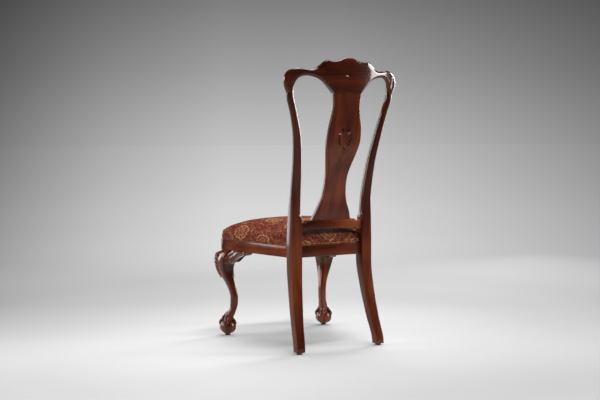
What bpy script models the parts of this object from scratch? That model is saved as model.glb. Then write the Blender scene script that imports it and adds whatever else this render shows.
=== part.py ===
"""Dining side chair: bowed crest over a vase splat, cabriole front legs with ball-and-claw feet.

Every piece of joinery is its own object. The chair's front faces -Y, its left side is +X, and it
stands on Z = 0 with its outline centred on the origin. All lengths are in metres.
"""

import math

import bmesh
import bpy
from mathutils import Matrix, Vector

# Fits
GAP = 0.0003             # clearance between pieces that touch
OVERRUN = 0.004          # how far cutters and joined blocks run past a face

# Heights
GLIDE_HEIGHT = 0.0072
RAIL_BOTTOM = 0.3466
RAIL_HEIGHT = 0.0422
RAIL_TOP = RAIL_BOTTOM + RAIL_HEIGHT
CREST_JOINT = 0.9523     # where the stiles and the splat end and the crest begins
CREST_HEIGHT = 0.1291    # from that joint to the top of the hump
WOOD_BOTTOM = GLIDE_HEIGHT + GAP

# Seat frame in plan
SEAT_FRONT_WIDTH = 0.5242    # between the outer faces, at the sharp corner
SEAT_DEPTH = 0.407           # from the post's front face to the front rail's face
SEAT_CORNER_RADIUS = 0.0336
CORNER_STEPS = 6
RAIL_THICKNESS = 0.023
REAR_RAIL_RECESS = 0.011     # back face of the rear rail, in from the post's back face

# Rear posts: section at the seat, then centres and sections up the post
POST_WIDTH = 0.0432
POST_SPREAD = 0.1548         # post centre to the chair's centre plane, at the seat
POST_EDGE = 0.0015           # eased edge of the square lower part
POST_ROUND_SHARE = 0.36      # rounding of the stile, as a share of its width
POST_SQUARE_TOP = 0.4954     # where the square part ends and the rounded stile begins
POST_FOOT_SPLAY = 0.0204          # foot's centre outward of the seat-level centre
POST_FOOT_SETBACK = 0.0701           # foot's centre rearward of it
STILE_FLARE = 0.0617         # stile's top centre outward of it
STILE_SETBACK = 0.0712          # stile's top centre rearward of it
POST_LEG_SHARES = (
    # height up to the rails' bottom, splay, rake, width of the section at the seat
    (0.0, 1.0, 1.0, 0.755), (0.318, 0.620, 0.575, 0.822), (0.657, 0.211, 0.188, 0.920),
    (0.954, 0.0, 0.0, 1.0),
)
STILE_SHARES = (
    # height from the rails' top to the crest, flare, rake, width of the section at the seat
    (0.009, 0.0, 0.0, 1.0), (0.162, 0.003, 0.024, 0.915), (0.247, 0.014, 0.057, 0.872),
    (0.366, 0.040, 0.168, 0.833), (0.571, 0.152, 0.485, 0.729), (0.741, 0.386, 0.775, 0.640),
    (0.877, 0.705, 0.930, 0.560), (1.0, 1.0, 1.0, 0.565),
)
POST_LEVELS = 26

# Crest rail
CREST_THICKNESS = 0.0235
CREST_EDGE = 0.0077
CREST_HALF_WIDTH = 0.2434
CREST_SETBACK = 0.1138       # middle of the crest behind the seat-level post centre, at the joint
CREST_LEAN = 0.07            # rearward run per unit of rise
CREST_BOW = 0.0425           # how far its ends come forward of its middle
CREST_BOW_SHARE = 0.92       # share of the half width over which it bows
CREST_SLICES = 25           # an odd count keeps a flat strip at the star
CREST_OUTER_SHARES = (
    (0.925, -0.07), (0.940, 0.0), (0.967, 0.119), (0.998, 0.305), (0.990, 0.446), (0.951, 0.576),
    (0.883, 0.662), (0.793, 0.691), (0.695, 0.665), (0.605, 0.654), (0.531, 0.695), (0.457, 0.792),
    (0.406, 0.870), (0.357, 0.926),
)
CREST_HUMP_SHARES = (
    (0.357, 0.926), (0.3125, 0.896), (0.242, 0.892), (0.164, 0.926), (0.082, 0.981), (0.0, 1.0),
)
CREST_ARCH_SHARES = (
    (0.205, -0.07), (0.240, 0.0), (0.276, 0.071), (0.347, 0.199), (0.408, 0.305), (0.488, 0.398),
    (0.582, 0.4535), (0.664, 0.472), (0.730, 0.450), (0.789, 0.387), (0.826, 0.283), (0.842, 0.134),
    (0.838, 0.0), (0.830, -0.07),
)
STAR_WIDTH = 0.0326
STAR_HEIGHT = 0.0182
STAR_RISE_SHARE = 0.484      # height of the star's centre in the crest
STAR_WAIST_SHARE = 0.34      # how far the star's sides are drawn in
STAR_POINTS = 4
DOWEL_DIAMETER = 0.010
DOWEL_LENGTH = 0.050

# Shoe rail
SHOE_BOTTOM = 0.4426
SHOE_HEIGHT = 0.0336
SHOE_STEP = 0.0072           # the middle stands this much higher than the ends
SHOE_STEP_HALF = 0.1018
SHOE_CURVE = 0.0115          # run of the curve from end to middle
SHOE_CURVE_STEPS = 5
SHOE_THICKNESS = 0.025
SHOE_EDGE = 0.002
SHOE_RECESS = 0.0062         # back face, in from the post's back face at the seat

# Splat
SPLAT_THICKNESS = 0.0245
SPLAT_EDGE = 0.0034
SPLAT_WIDTH = 0.168          # at its foot
SPLAT_HALF_SHARES = (
    # height up the splat, half width as a share of half the foot
    (0.0, 1.0), (0.075, 0.835), (0.155, 0.655), (0.235, 0.560), (0.320, 0.527), (0.405, 0.568),
    (0.525, 0.728), (0.610, 0.824), (0.670, 0.843), (0.750, 0.812), (0.850, 0.700), (0.925, 0.655),
    (1.0, 0.690),
)
SPLAT_SHARES = (
    # height up the splat, share of the lean
    (0.0, 0.0), (0.06, 0.085), (0.155, 0.150), (0.25, 0.240), (0.345, 0.345), (0.44, 0.500),
    (0.525, 0.645), (0.61, 0.765), (0.71, 0.840), (0.83, 0.900), (0.955, 0.975), (1.0, 1.0),
)
SPLAT_SLICES = 26
TENON_THICKNESS = 0.010
TENON_LENGTH = 0.018
TENON_SHOULDER = 0.006       # how far a tenon's ends stand in from the rail's edges
PATTERN_HEIGHT = 0.097       # pierced tulip, top to bottom
PATTERN_RISE_SHARE = 0.548   # height of its lowest point up the splat
SLOT_WIDTH = 0.0082
LOBE_WIDTH = 0.0101
LOBE_STEPS = 6
LOBE_SHARES = (
    # foot across, foot height and length as shares of the pattern's height, lean of a half turn
    (0.0, 0.73, 0.27, 0.0), (0.055, 0.715, 0.205, 0.21), (-0.055, 0.715, 0.205, -0.21),
)
HOOK_SHARES = (
    # across and height as shares of the pattern's height
    (0.115, 0.665), (0.195, 0.685), (0.258, 0.63), (0.260, 0.50), (0.228, 0.36), (0.178, 0.22),
)
HOOK_WIDTH_SHARES = ((0, 0.7), (1, 1.0), (2, 1.0), (3, 0.95), (4, 0.8), (5, 0.5))
DROP_HEIGHT_SHARE = 0.17     # small diamond below the hooks
DROP_WIDTH_SHARE = 0.122

# Front legs
LEG_INSET = 0.0355           # foot centre inside the seat's sharp front corner, across
LEG_AHEAD = 0.0254           # front rail's face ahead of the foot centre
LEG_SWING = 0.0266           # how far the ankle is drawn in from the foot, along the diagonal
LEG_TOP_WIDTH = 0.0768
LEG_SHARES = (
    # height up to the rails, outward shift as a share of the swing, width as a share of the top,
    # squareness
    (0.166, 0.00, 0.400, 2.0), (0.233, -0.325, 0.430, 2.0), (0.277, -0.595, 0.400, 2.0),
    (0.324, -0.866, 0.368, 2.0), (0.388, -1.000, 0.372, 2.0), (0.457, -0.996, 0.376, 2.0),
    (0.535, -0.758, 0.405, 2.3), (0.607, -0.415, 0.480, 2.6), (0.685, 0.00, 0.602, 2.9),
    (0.776, 0.343, 0.745, 3.3), (0.854, 0.354, 0.870, 3.9), (0.900, 0.190, 0.935, 4.4),
    (0.931, -0.050, 0.975, 4.8), (0.967, -0.400, 0.960, 5.2), (1.0, -0.800, 0.862, 5.4),
)
LEG_LEVELS = 26
LEG_SIDES = 24
STUB_WIDTH = 0.0346          # inner post of the leg, inside the corner of the frame
STUB_SHORT = 0.006           # its top is this far below the rails
BALL_RADIUS = 0.0307
CLAW_STEPS = 9
CLAW_SHARES = (
    # distance out, height, thickness, all as shares of the ball's radius, from the ankle down
    (0.16, 2.95, 0.22), (0.42, 2.40, 0.25), (0.66, 1.98, 0.26), (0.90, 1.57, 0.25),
    (0.90, 1.00, 0.24), (0.78, 0.50, 0.18), (0.52, 0.20, 0.115),
)
TOE_ROOT_SHARE = 0.60        # how far the claws' roots follow the ankle

# Knee brackets
BRACKET_LENGTH = 0.1171
BRACKET_DROP = 0.0557
BRACKET_PROUD = 0.0115       # front bracket's face stands out past the rail's, beside the leg
SIDE_BRACKET_PROUD = 0.0072
BRACKET_SHELF = 0.0288       # drop from the rail to where the bracket stands proudest
BRACKET_EDGE = 0.003
BRACKET_SHARES = (
    # along the bracket, drop below the rail, for its lower edge
    (0.0, 1.0), (0.09, 0.88), (0.22, 0.65), (0.38, 0.45), (0.56, 0.31), (0.68, 0.245), (0.76, 0.265),
    (0.87, 0.22), (0.96, 0.11), (1.0, 0.0),
)

# Corner blocks and fasteners
BLOCK_HEIGHT = 0.032
BLOCK_LEG = 0.052            # run along each rail
BLOCK_DROP = 0.003           # its top is this far below the rails' top
BOLT_DIAMETER = 0.006
BOLT_BITE = 0.022            # how deep a bolt or screw goes into the post
BOLT_PROUD = 0.009           # bolt's free end, past the block
NUT_WIDTH = 0.010
NUT_HEIGHT = 0.005
SCREW_DIAMETER = 0.004
SCREW_HEAD = 0.009
SCREW_HEAD_HEIGHT = 0.003
SEAT_SCREW_BITE = 0.009      # how deep a seat screw goes into the board
SCREW_SIDES = 10
SCREW_DOME_SHARE = 0.7       # flat top of a screw's head
SEAT_SCREW_IN_SHARE = 0.42   # its place from the block's long face toward the corner
SEAT_SCREW_SIDE_SHARE = 0.225    # and along that face from its middle

# Seat pad
PAD_EDGE_HEIGHT = 0.0326     # upright side of the pad
PAD_CROWN = 0.0518           # rise of its middle over that side
PAD_SHOULDER = 0.1152        # how far in from the side the top still curves
PAD_PEAK_FORWARD = 0.0576    # highest point ahead of the pad's middle
PAD_FALL_X_SHARE = 0.35      # crown lost at the sides and at the front and back
PAD_FALL_Y_SHARE = 0.30
PAD_DRAW = 0.0035            # how far the sides are drawn in between the corners
PAD_RING_SHARES = (0.05, 0.11, 0.18, 0.26, 0.36, 0.50, 0.70)    # rings of the crown, from the edge in
PAD_INSET = 0.0012           # the cloth's face, in from the rails'
PAD_NOTCH_GAP = 0.0010       # the pad's clearance round the posts
BOARD_THICKNESS = 0.012
CLOTH = 0.0012
FOAM_EASE = 0.0005           # the foam's and the board's clearance inside the cloth
COVER_HEM = 0.0008           # the cloth's lower edge, above the rails
DUST_CLOTH = 0.0008
DUST_INSET = 0.0015

# Glides
GLIDE_RADIUS = 0.011
GLIDE_CROWN_SHARE = 0.78     # flat part of its underside
NAIL_RADIUS = 0.0016
NAIL_LENGTH = 0.012
GLIDE_SIDES = 16

# Places worked out from the sizes above
POST_HALF = POST_WIDTH / 2
POST_FACE = POST_SPREAD + POST_HALF
FRONT_FACE = -POST_HALF - SEAT_DEPTH
SIDE_RUN = SEAT_FRONT_WIDTH / 2 - POST_FACE
SIDE_ANGLE = math.atan2(SIDE_RUN, SEAT_DEPTH)
SIDE_FORWARD = Vector((math.sin(SIDE_ANGLE), -math.cos(SIDE_ANGLE), 0))
SIDE_OUTWARD = Vector((math.cos(SIDE_ANGLE), math.sin(SIDE_ANGLE), 0))
REAR_RAIL_BACK = POST_HALF - REAR_RAIL_RECESS
SHOE_BACK = POST_HALF - SHOE_RECESS
SPLAT_BOTTOM = SHOE_BOTTOM + SHOE_HEIGHT + SHOE_STEP + GAP
SPLAT_TOP = CREST_JOINT - GAP
SPLAT_HEIGHT = SPLAT_TOP - SPLAT_BOTTOM
BOARD_LOW = RAIL_TOP + COVER_HEM
BOARD_TOP = BOARD_LOW + BOARD_THICKNESS
PAD_EDGE = RAIL_TOP + PAD_EDGE_HEIGHT
BLOCK_TOP = RAIL_TOP - BLOCK_DROP
BLOCK_BOTTOM = BLOCK_TOP - BLOCK_HEIGHT
LEG_TOP = RAIL_BOTTOM - GAP
LEG_FOOT = Vector((SEAT_FRONT_WIDTH / 2 - LEG_INSET, FRONT_FACE + LEG_AHEAD, 0))
DIAGONAL = Vector((1, -1, 0)).normalized()
BALL_HEIGHT = WOOD_BOTTOM + BALL_RADIUS

FINISHES = {
    # name: colour, roughness, metallic
    "mahogany": ((0.13, 0.028, 0.014), 0.22, 0.0),
    "birch": ((0.52, 0.38, 0.22), 0.6, 0.0),
    "brocade": ((0.17, 0.035, 0.03), 0.85, 0.0),
    "foam": ((0.75, 0.70, 0.52), 0.9, 0.0),
    "black_cloth": ((0.02, 0.02, 0.02), 0.9, 0.0),
    "steel": ((0.55, 0.55, 0.56), 0.35, 1.0),
    "nylon": ((0.06, 0.045, 0.04), 0.5, 0.0),
}


def clear_scene():
    """Removes every object of the open scene."""
    for item in list(bpy.data.objects):
        bpy.data.objects.remove(item, do_unlink=True)


def collection(name):
    """Makes a collection under the scene's own."""
    group = bpy.data.collections.new(name)
    bpy.context.scene.collection.children.link(group)
    return group


def finish(name):
    """Gives the Principled material of that name, made once."""
    if name in bpy.data.materials:
        return bpy.data.materials[name]
    colour, roughness, metallic = FINISHES[name]
    made = bpy.data.materials.new(name)
    made.use_nodes = True
    shader = made.node_tree.nodes["Principled BSDF"]
    shader.inputs["Base Color"].default_value = (*colour, 1)
    shader.inputs["Roughness"].default_value = roughness
    shader.inputs["Metallic"].default_value = metallic
    return made


def add_object(name, mesh, group, finish_name=None):
    """Links a mesh as a named object of the collection."""
    item = bpy.data.objects.new(name, mesh)
    group.objects.link(item)
    if finish_name:
        mesh.materials.clear()
        mesh.materials.append(finish(finish_name))
    return item


def mesh_from(name, shape):
    """Turns a bmesh into a mesh with outward faces."""
    bmesh.ops.recalc_face_normals(shape, faces=shape.faces[:])
    mesh = bpy.data.meshes.new(name)
    shape.to_mesh(mesh)
    shape.free()
    return mesh


def round_off(item, angle_share=1 / 5):
    """Shades a piece smooth where its faces meet at less than that share of a half turn."""
    item.data.shade_smooth()
    item.data.set_sharp_from_angle(angle=math.pi * angle_share)


def steady_rate(before, here, after, column):
    """Slope of a curve at one of its rows: level where the curve turns back."""
    if (here[column] - before[column]) * (after[column] - here[column]) <= 0:
        return 0
    return (after[column] - before[column]) / (after[0] - before[0])


def between(stations, key):
    """Reads a smooth curve through rows of (key, values...), at one key."""
    last = len(stations) - 1
    index = max(i for i in range(last) if i == 0 or stations[i][0] <= key)
    low = stations[index]
    high = stations[index + 1]
    span = high[0] - low[0]
    part = (key - low[0]) / span
    before = stations[max(index - 1, 0)]
    after = stations[min(index + 2, last)]
    values = []
    for column in range(1, len(low)):
        rate_in = steady_rate(before, low, high, column)
        rate_out = steady_rate(low, high, after, column)
        values.append(
            low[column] * (1 + 2 * part) * (1 - part) ** 2
            + rate_in * span * part * (1 - part) ** 2
            + high[column] * part ** 2 * (3 - 2 * part)
            - rate_out * span * part ** 2 * (1 - part)
        )
    return values


def smooth_line(points, steps):
    """Draws a smooth line through the points, with so many steps from each to the next."""
    last = len(points) - 1
    line = []
    for index in range(last):
        ends = [Vector(points[min(max(index + shift, 0), last)]) for shift in (-1, 0, 1, 2)]
        for step in range(steps):
            part = step / steps
            pull = (ends[2] - ends[0]) / 2
            push = (ends[3] - ends[1]) / 2
            line.append(
                ends[1] * (1 + 2 * part) * (1 - part) ** 2
                + pull * part * (1 - part) ** 2
                + ends[2] * part ** 2 * (3 - 2 * part)
                - push * part ** 2 * (1 - part)
            )
    line.append(Vector(points[last]))
    return line


def prism(name, outline, bottom, top):
    """Raises a flat outline in plan from one height to another."""
    shape = bmesh.new()
    face = shape.faces.new([shape.verts.new((x, y, bottom)) for x, y in outline])
    raised = bmesh.ops.extrude_face_region(shape, geom=[face])
    moved = [part for part in raised["geom"] if isinstance(part, bmesh.types.BMVert)]
    bmesh.ops.translate(shape, verts=moved, vec=(0, 0, top - bottom))
    return mesh_from(name, shape)


def loft(name, rings):
    """Skins rings of equal point counts and closes both ends."""
    shape = bmesh.new()
    rows = [[shape.verts.new(point) for point in ring] for ring in rings]
    for low, high in zip(rows, rows[1:]):
        for index in range(len(low)):
            following = (index + 1) % len(low)
            shape.faces.new((low[index], low[following], high[following], high[index]))
    shape.faces.new(reversed(rows[0]))
    shape.faces.new(rows[-1])
    return mesh_from(name, shape)


def plate(name, outline, thickness, edge, rings=1):
    """Cuts a flat plate with rounded edges: outline in X and Z, thickness along Y."""
    curve = bpy.data.curves.new(name, "CURVE")
    curve.dimensions = "2D"
    curve.fill_mode = "BOTH"
    curve.extrude = thickness / 2 - edge
    curve.bevel_depth = edge
    curve.bevel_resolution = rings
    curve.offset = -edge
    spline = curve.splines.new("POLY")
    spline.points.add(len(outline) - 1)
    for point, (x, z) in zip(spline.points, outline):
        point.co = (x, z, 0, 1)
    spline.use_cyclic_u = True
    holder = bpy.data.objects.new(name, curve)
    bpy.context.scene.collection.objects.link(holder)
    bpy.context.view_layer.update()
    evaluated = holder.evaluated_get(bpy.context.evaluated_depsgraph_get())
    flat = bpy.data.meshes.new_from_object(evaluated)
    bpy.data.objects.remove(holder, do_unlink=True)
    shape = bmesh.new()
    shape.from_mesh(flat)
    bpy.data.meshes.remove(flat)
    bmesh.ops.remove_doubles(shape, verts=shape.verts[:], dist=GAP / 10)
    bmesh.ops.rotate(shape, verts=shape.verts[:], matrix=Matrix.Rotation(math.pi / 2, 3, "X"))
    return shape


def slice_across(shape, places, direction):
    """Adds a cut line across the shape at each place along the direction."""
    for place in places:
        bmesh.ops.bisect_plane(
            shape, geom=shape.verts[:] + shape.edges[:] + shape.faces[:],
            plane_co=direction * place, plane_no=direction, dist=GAP / 10,
        )


def trim(shape, place, outward):
    """Cuts off what lies beyond a plane and closes the cut."""
    bmesh.ops.bisect_plane(
        shape, geom=shape.verts[:] + shape.edges[:] + shape.faces[:], plane_co=place,
        plane_no=outward, clear_outer=True, dist=GAP / 10,
    )
    bmesh.ops.holes_fill(shape, edges=[edge for edge in shape.edges if edge.is_boundary])


def ease_flats(shape):
    """Joins the triangles of the flat faces before they are cut again."""
    bmesh.ops.dissolve_limit(
        shape, angle_limit=math.pi / 1800, verts=[], edges=shape.edges[:], use_dissolve_boundaries=False,
    )


def boolean(item, other, operation):
    """Cuts or joins another object into a piece."""
    change = item.modifiers.new(operation.lower(), "BOOLEAN")
    change.operation = operation
    change.solver = "EXACT"
    change.object = other


class Workshop:
    """Holds the two collections and the steps that every piece goes through."""

    def __init__(self, name):
        self.parts = collection(name)
        self.tools = collection("cutters")

    def piece(self, name, mesh, finish_name):
        """Adds a piece of the chair."""
        item = add_object(name, mesh, self.parts, finish_name)
        round_off(item)
        return item

    def tool(self, name, mesh):
        """Adds a cutter or a block to be joined, which isn't a piece of the chair."""
        item = add_object(name, mesh, self.tools)
        item.hide_render = True
        item.display_type = "WIRE"
        return item

    def cut(self, item, mesh):
        """Takes a shape away from a piece."""
        boolean(item, self.tool(item.name + "_cutter", mesh), "DIFFERENCE")

    def join(self, item, mesh):
        """Joins a shape to a piece."""
        boolean(item, self.tool(item.name + "_block", mesh), "UNION")


def box(low, high, grow=0.0):
    """A box between two corners, grown on every side."""
    shape = bmesh.new()
    bmesh.ops.create_cube(shape, size=1)
    size = [b - a + 2 * grow for a, b in zip(low, high)]
    middle = [(a + b) / 2 for a, b in zip(low, high)]
    bmesh.ops.scale(shape, verts=shape.verts[:], vec=size)
    bmesh.ops.translate(shape, verts=shape.verts[:], vec=middle)
    return mesh_from("box", shape)


def rod(start, end, radius, sides=SCREW_SIDES, far_radius=None):
    """A round rod or cone between two points."""
    start = Vector(start)
    axis = Vector(end) - start
    shape = bmesh.new()
    bmesh.ops.create_cone(
        shape, cap_ends=True, segments=sides, radius1=radius,
        radius2=radius if far_radius is None else far_radius, depth=axis.length,
    )
    turn = axis.to_track_quat("Z", "Y").to_matrix().to_4x4()
    bmesh.ops.transform(shape, verts=shape.verts[:], matrix=Matrix.Translation(start + axis / 2) @ turn)
    return mesh_from("rod", shape)


def mirrored(mesh):
    """The same mesh on the other side of the chair."""
    shape = bmesh.new()
    shape.from_mesh(mesh)
    bmesh.ops.scale(shape, verts=shape.verts[:], vec=(-1, 1, 1))
    bmesh.ops.reverse_faces(shape, faces=shape.faces[:])
    return mesh_from(mesh.name + "_mirrored", shape)


def on_side(mesh, side):
    """Gives the mesh for the left side, +1, or its mirror image for the right, -1."""
    return mesh if side > 0 else mirrored(mesh)


# Rear posts


def post_stations():
    """Rows of height, outward and rearward shift and width share, foot to top."""
    rise = RAIL_BOTTOM - WOOD_BOTTOM
    rows = [(WOOD_BOTTOM + rise * up, POST_FOOT_SPLAY * out, POST_FOOT_SETBACK * back, width)
            for up, out, back, width in POST_LEG_SHARES]
    rise = CREST_JOINT - GAP - RAIL_TOP
    rows += [(RAIL_TOP + rise * up, STILE_FLARE * out, STILE_SETBACK * back, width)
             for up, out, back, width in STILE_SHARES]
    return rows


def post_middle(height):
    """Centre and width of the left post at a height."""
    out, back, share = between(post_stations(), height)
    return Vector((POST_SPREAD + out, back, height)), POST_WIDTH * share


def post_ring(height):
    """Section of the left post: square below, rounded from just above the shoe rail."""
    middle, width = post_middle(height)
    half = width / 2
    radius = POST_EDGE if height <= POST_SQUARE_TOP else width * POST_ROUND_SHARE
    ring = []
    for corner in range(4):
        turn = math.pi / 2 * corner
        for step in range(3):
            angle = turn + math.pi / 4 * step
            x = math.copysign(half - radius, math.cos(turn + math.pi / 4)) + radius * math.cos(angle)
            y = math.copysign(half - radius, math.sin(turn + math.pi / 4)) + radius * math.sin(angle)
            ring.append(middle + Vector((x, y, 0)))
    return ring


def post_heights():
    """Levels of the post's sections, with a close pair where the rounding starts."""
    top = CREST_JOINT - GAP
    step = (top - WOOD_BOTTOM) / POST_LEVELS
    even = [WOOD_BOTTOM + step * index for index in range(POST_LEVELS + 1)]
    clear = [height for height in even if abs(height - POST_SQUARE_TOP) > step / 2]
    return sorted(clear + [POST_SQUARE_TOP, POST_SQUARE_TOP + POST_ROUND_SHARE * step / 2])


def side_tenon(grow=0.0):
    """Tenon of the left side rail, which runs straight back into the post."""
    middle = POST_FACE - RAIL_THICKNESS / 2
    low = (middle - TENON_THICKNESS / 2, -POST_HALF - OVERRUN, RAIL_BOTTOM + TENON_SHOULDER)
    high = (middle + TENON_THICKNESS / 2, -POST_HALF + TENON_LENGTH, RAIL_TOP - TENON_SHOULDER)
    return box(low, high, grow)


def cross_tenon(back, thickness, bottom, top, grow=0.0):
    """Tenon on the left end of a rail that crosses between the posts."""
    inner = post_middle((bottom + top) / 2)[0].x - POST_HALF
    middle = back - thickness / 2
    length = TENON_LENGTH / 2
    low = (inner - OVERRUN, middle - TENON_THICKNESS / 2, bottom + TENON_SHOULDER)
    high = (inner + length, middle + TENON_THICKNESS / 2, top - TENON_SHOULDER)
    return box(low, high, grow)


def make_posts(shop):
    """Rear legs and stiles, with their mortises, dowel holes and glide holes."""
    shoe_top = SHOE_BOTTOM + SHOE_HEIGHT
    dowel_low, dowel_high = dowel_ends(GAP)
    foot = post_middle(WOOD_BOTTOM)[0]
    for side, word in ((1, "left"), (-1, "right")):
        rings = [post_ring(height) for height in post_heights()]
        post = shop.piece("rear_post_" + word, on_side(loft("post", rings), side), "mahogany")
        shop.cut(post, on_side(side_tenon(GAP), side))
        shop.cut(post, on_side(
            cross_tenon(REAR_RAIL_BACK, RAIL_THICKNESS, RAIL_BOTTOM, RAIL_TOP, GAP), side))
        shop.cut(post, on_side(cross_tenon(SHOE_BACK, SHOE_THICKNESS, SHOE_BOTTOM, shoe_top, GAP), side))
        shop.cut(post, on_side(rod(dowel_low, dowel_high, DOWEL_DIAMETER / 2 + GAP), side))
        shop.cut(post, on_side(nail_hole(foot), side))
        start, end = rear_screw_line()
        shop.cut(post, on_side(rod(start, end, SCREW_DIAMETER / 2 + GAP), side))


def dowel_ends(grow=0.0):
    """Axis of the dowel between a stile and the crest."""
    middle = post_middle(CREST_JOINT - GAP)[0]
    reach = Vector((0, 0, DOWEL_LENGTH / 2 + grow))
    return middle - reach, middle + reach


# Crest rail


def crest_middle(x, z):
    """Middle of the crest's thickness: it leans back and bows in plan."""
    reach = min(abs(x) / (CREST_HALF_WIDTH * CREST_BOW_SHARE), 1)
    return CREST_SETBACK + CREST_LEAN * (z - CREST_JOINT) - CREST_BOW * reach ** 2


def crest_outline():
    """Closed outline of the crest in X and Z."""
    half = smooth_line(CREST_OUTER_SHARES, 2)[:-1] + smooth_line(CREST_HUMP_SHARES, 2)
    arch = smooth_line(CREST_ARCH_SHARES, 2)
    points = half + [Vector((-x, z)) for x, z in reversed(half[:-1])]
    points += [Vector((-x, z)) for x, z in reversed(arch)] + arch
    return [(x * CREST_HALF_WIDTH, CREST_JOINT + z * CREST_HEIGHT) for x, z in points]


def star():
    """Four-pointed star with drawn-in sides, cut through the crest."""
    centre = CREST_JOINT + CREST_HEIGHT * STAR_RISE_SHARE
    outline = []
    for point in range(2 * STAR_POINTS):
        reach = 1 if point % 2 == 0 else STAR_WAIST_SHARE
        angle = math.pi / STAR_POINTS * point
        x = math.cos(angle) * reach * STAR_WIDTH / 2
        z = centre + math.sin(angle) * reach * STAR_HEIGHT / 2
        outline.append((x, z))
    return outline


def make_crest(shop):
    """Bowed crest rail with its star, splat mortise and dowel holes."""
    shape = plate("crest", crest_outline(), CREST_THICKNESS, CREST_EDGE)
    trim(shape, Vector((0, 0, CREST_JOINT)), Vector((0, 0, -1)))
    ease_flats(shape)
    step = 2 * CREST_HALF_WIDTH / CREST_SLICES
    places = [step * (index - CREST_SLICES / 2) for index in range(1, CREST_SLICES)]
    slice_across(shape, places, Vector((1, 0, 0)))
    for vert in shape.verts:
        vert.co.y += crest_middle(vert.co.x, vert.co.z)
    crest = shop.piece("crest_rail", mesh_from("crest", shape), "mahogany")
    depth = CREST_THICKNESS + CREST_BOW
    shop.cut(crest, through(star(), crest_middle(0, CREST_JOINT + CREST_HEIGHT), depth))
    shop.cut(crest, splat_tenon(SPLAT_TOP, GAP))
    low, high = dowel_ends(GAP)
    for side in (1, -1):
        shop.cut(crest, on_side(rod(low, high, DOWEL_DIAMETER / 2 + GAP), side))
    for side, word in ((1, "left"), (-1, "right")):
        low, high = dowel_ends()
        shop.piece("crest_dowel_" + word, on_side(rod(low, high, DOWEL_DIAMETER / 2), side), "birch")


def through(outline, middle, depth):
    """A cutter of that outline in X and Z, right through along Y."""
    shape = bmesh.new()
    face = shape.faces.new([shape.verts.new((x, middle - depth, z)) for x, z in outline])
    raised = bmesh.ops.extrude_face_region(shape, geom=[face])
    moved = [part for part in raised["geom"] if isinstance(part, bmesh.types.BMVert)]
    bmesh.ops.translate(shape, verts=moved, vec=(0, 2 * depth, 0))
    return mesh_from("through", shape)


# Shoe rail and splat


def make_shoe(shop):
    """Shoe rail: its middle steps up to carry the splat."""
    inner = post_middle(SHOE_BOTTOM)[0].x - post_middle(SHOE_BOTTOM)[1] / 2 - GAP
    top = SHOE_BOTTOM + SHOE_HEIGHT
    rising = [(inner, 0)]
    for step in range(SHOE_CURVE_STEPS + 1):
        part = step / SHOE_CURVE_STEPS
        rising.append((SHOE_STEP_HALF + SHOE_CURVE * (1 - part), SHOE_STEP * part ** 2 * (3 - 2 * part)))
    rising.append((0, SHOE_STEP))
    upper = rising + [(-x, z) for x, z in reversed(rising[:-1])]
    outline = [(x, top + z) for x, z in upper] + [(x, SHOE_BOTTOM + z) for x, z in reversed(upper)]
    outline = [(x + math.copysign(OVERRUN, x) if abs(x) == inner else x, z) for x, z in outline]
    shape = plate("shoe", outline, SHOE_THICKNESS, SHOE_EDGE)
    for side in (1, -1):
        trim(shape, Vector((side * inner, 0, 0)), Vector((side, 0, 0)))
    bmesh.ops.translate(shape, verts=shape.verts[:], vec=(0, SHOE_BACK - SHOE_THICKNESS / 2, 0))
    shoe = shop.piece("shoe_rail", mesh_from("shoe", shape), "mahogany")
    for side in (1, -1):
        shop.join(shoe, on_side(cross_tenon(SHOE_BACK, SHOE_THICKNESS, SHOE_BOTTOM, top), side))
    shop.cut(shoe, splat_tenon(SPLAT_BOTTOM, GAP))


def splat_middle(height):
    """Middle of the splat's thickness at a height: an S in side view."""
    part = min(max((height - SPLAT_BOTTOM) / SPLAT_HEIGHT, 0), 1)
    foot = SHOE_BACK - SPLAT_THICKNESS / 2
    lean = crest_middle(SPLAT_WIDTH / 6, CREST_JOINT) - foot
    return foot + between(SPLAT_SHARES, part)[0] * lean


def splat_tenon(height, grow=0.0):
    """Tenon at one end of the splat."""
    part = (height - SPLAT_BOTTOM) / SPLAT_HEIGHT
    half = between(SPLAT_HALF_SHARES, part)[0] * SPLAT_WIDTH / 2 - TENON_SHOULDER * 2
    middle = splat_middle(height)
    low = (-half, middle - TENON_THICKNESS / 2, height - TENON_LENGTH)
    high = (half, middle + TENON_THICKNESS / 2, height + TENON_LENGTH)
    return box(low, high, grow)


def teardrop(x, z, length, width, angle):
    """Outline of a teardrop with its point at (x, z)."""
    outline = []
    for step in range(2 * LOBE_STEPS):
        turn = math.pi * (step + 0.5) / LOBE_STEPS
        along = length * (1 - math.cos(turn)) / 2
        across = width / 2 * math.sin(turn) * math.sin(turn / 2 if turn < math.pi else math.pi - turn / 2)
        outline.append((
            x + along * math.sin(angle) + across * math.cos(angle),
            z + along * math.cos(angle) - across * math.sin(angle),
        ))
    return outline


def ribbon(path, widths):
    """Outline of a band of changing width along a path in X and Z."""
    left = []
    right = []
    for index, point in enumerate(path):
        ahead = path[min(index + 1, len(path) - 1)]
        behind = path[max(index - 1, 0)]
        across = Vector((behind.y - ahead.y, ahead.x - behind.x)).normalized() * widths[index] / 2
        left.append(tuple(point + across))
        right.append(tuple(point - across))
    return left + right[::-1]


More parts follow.
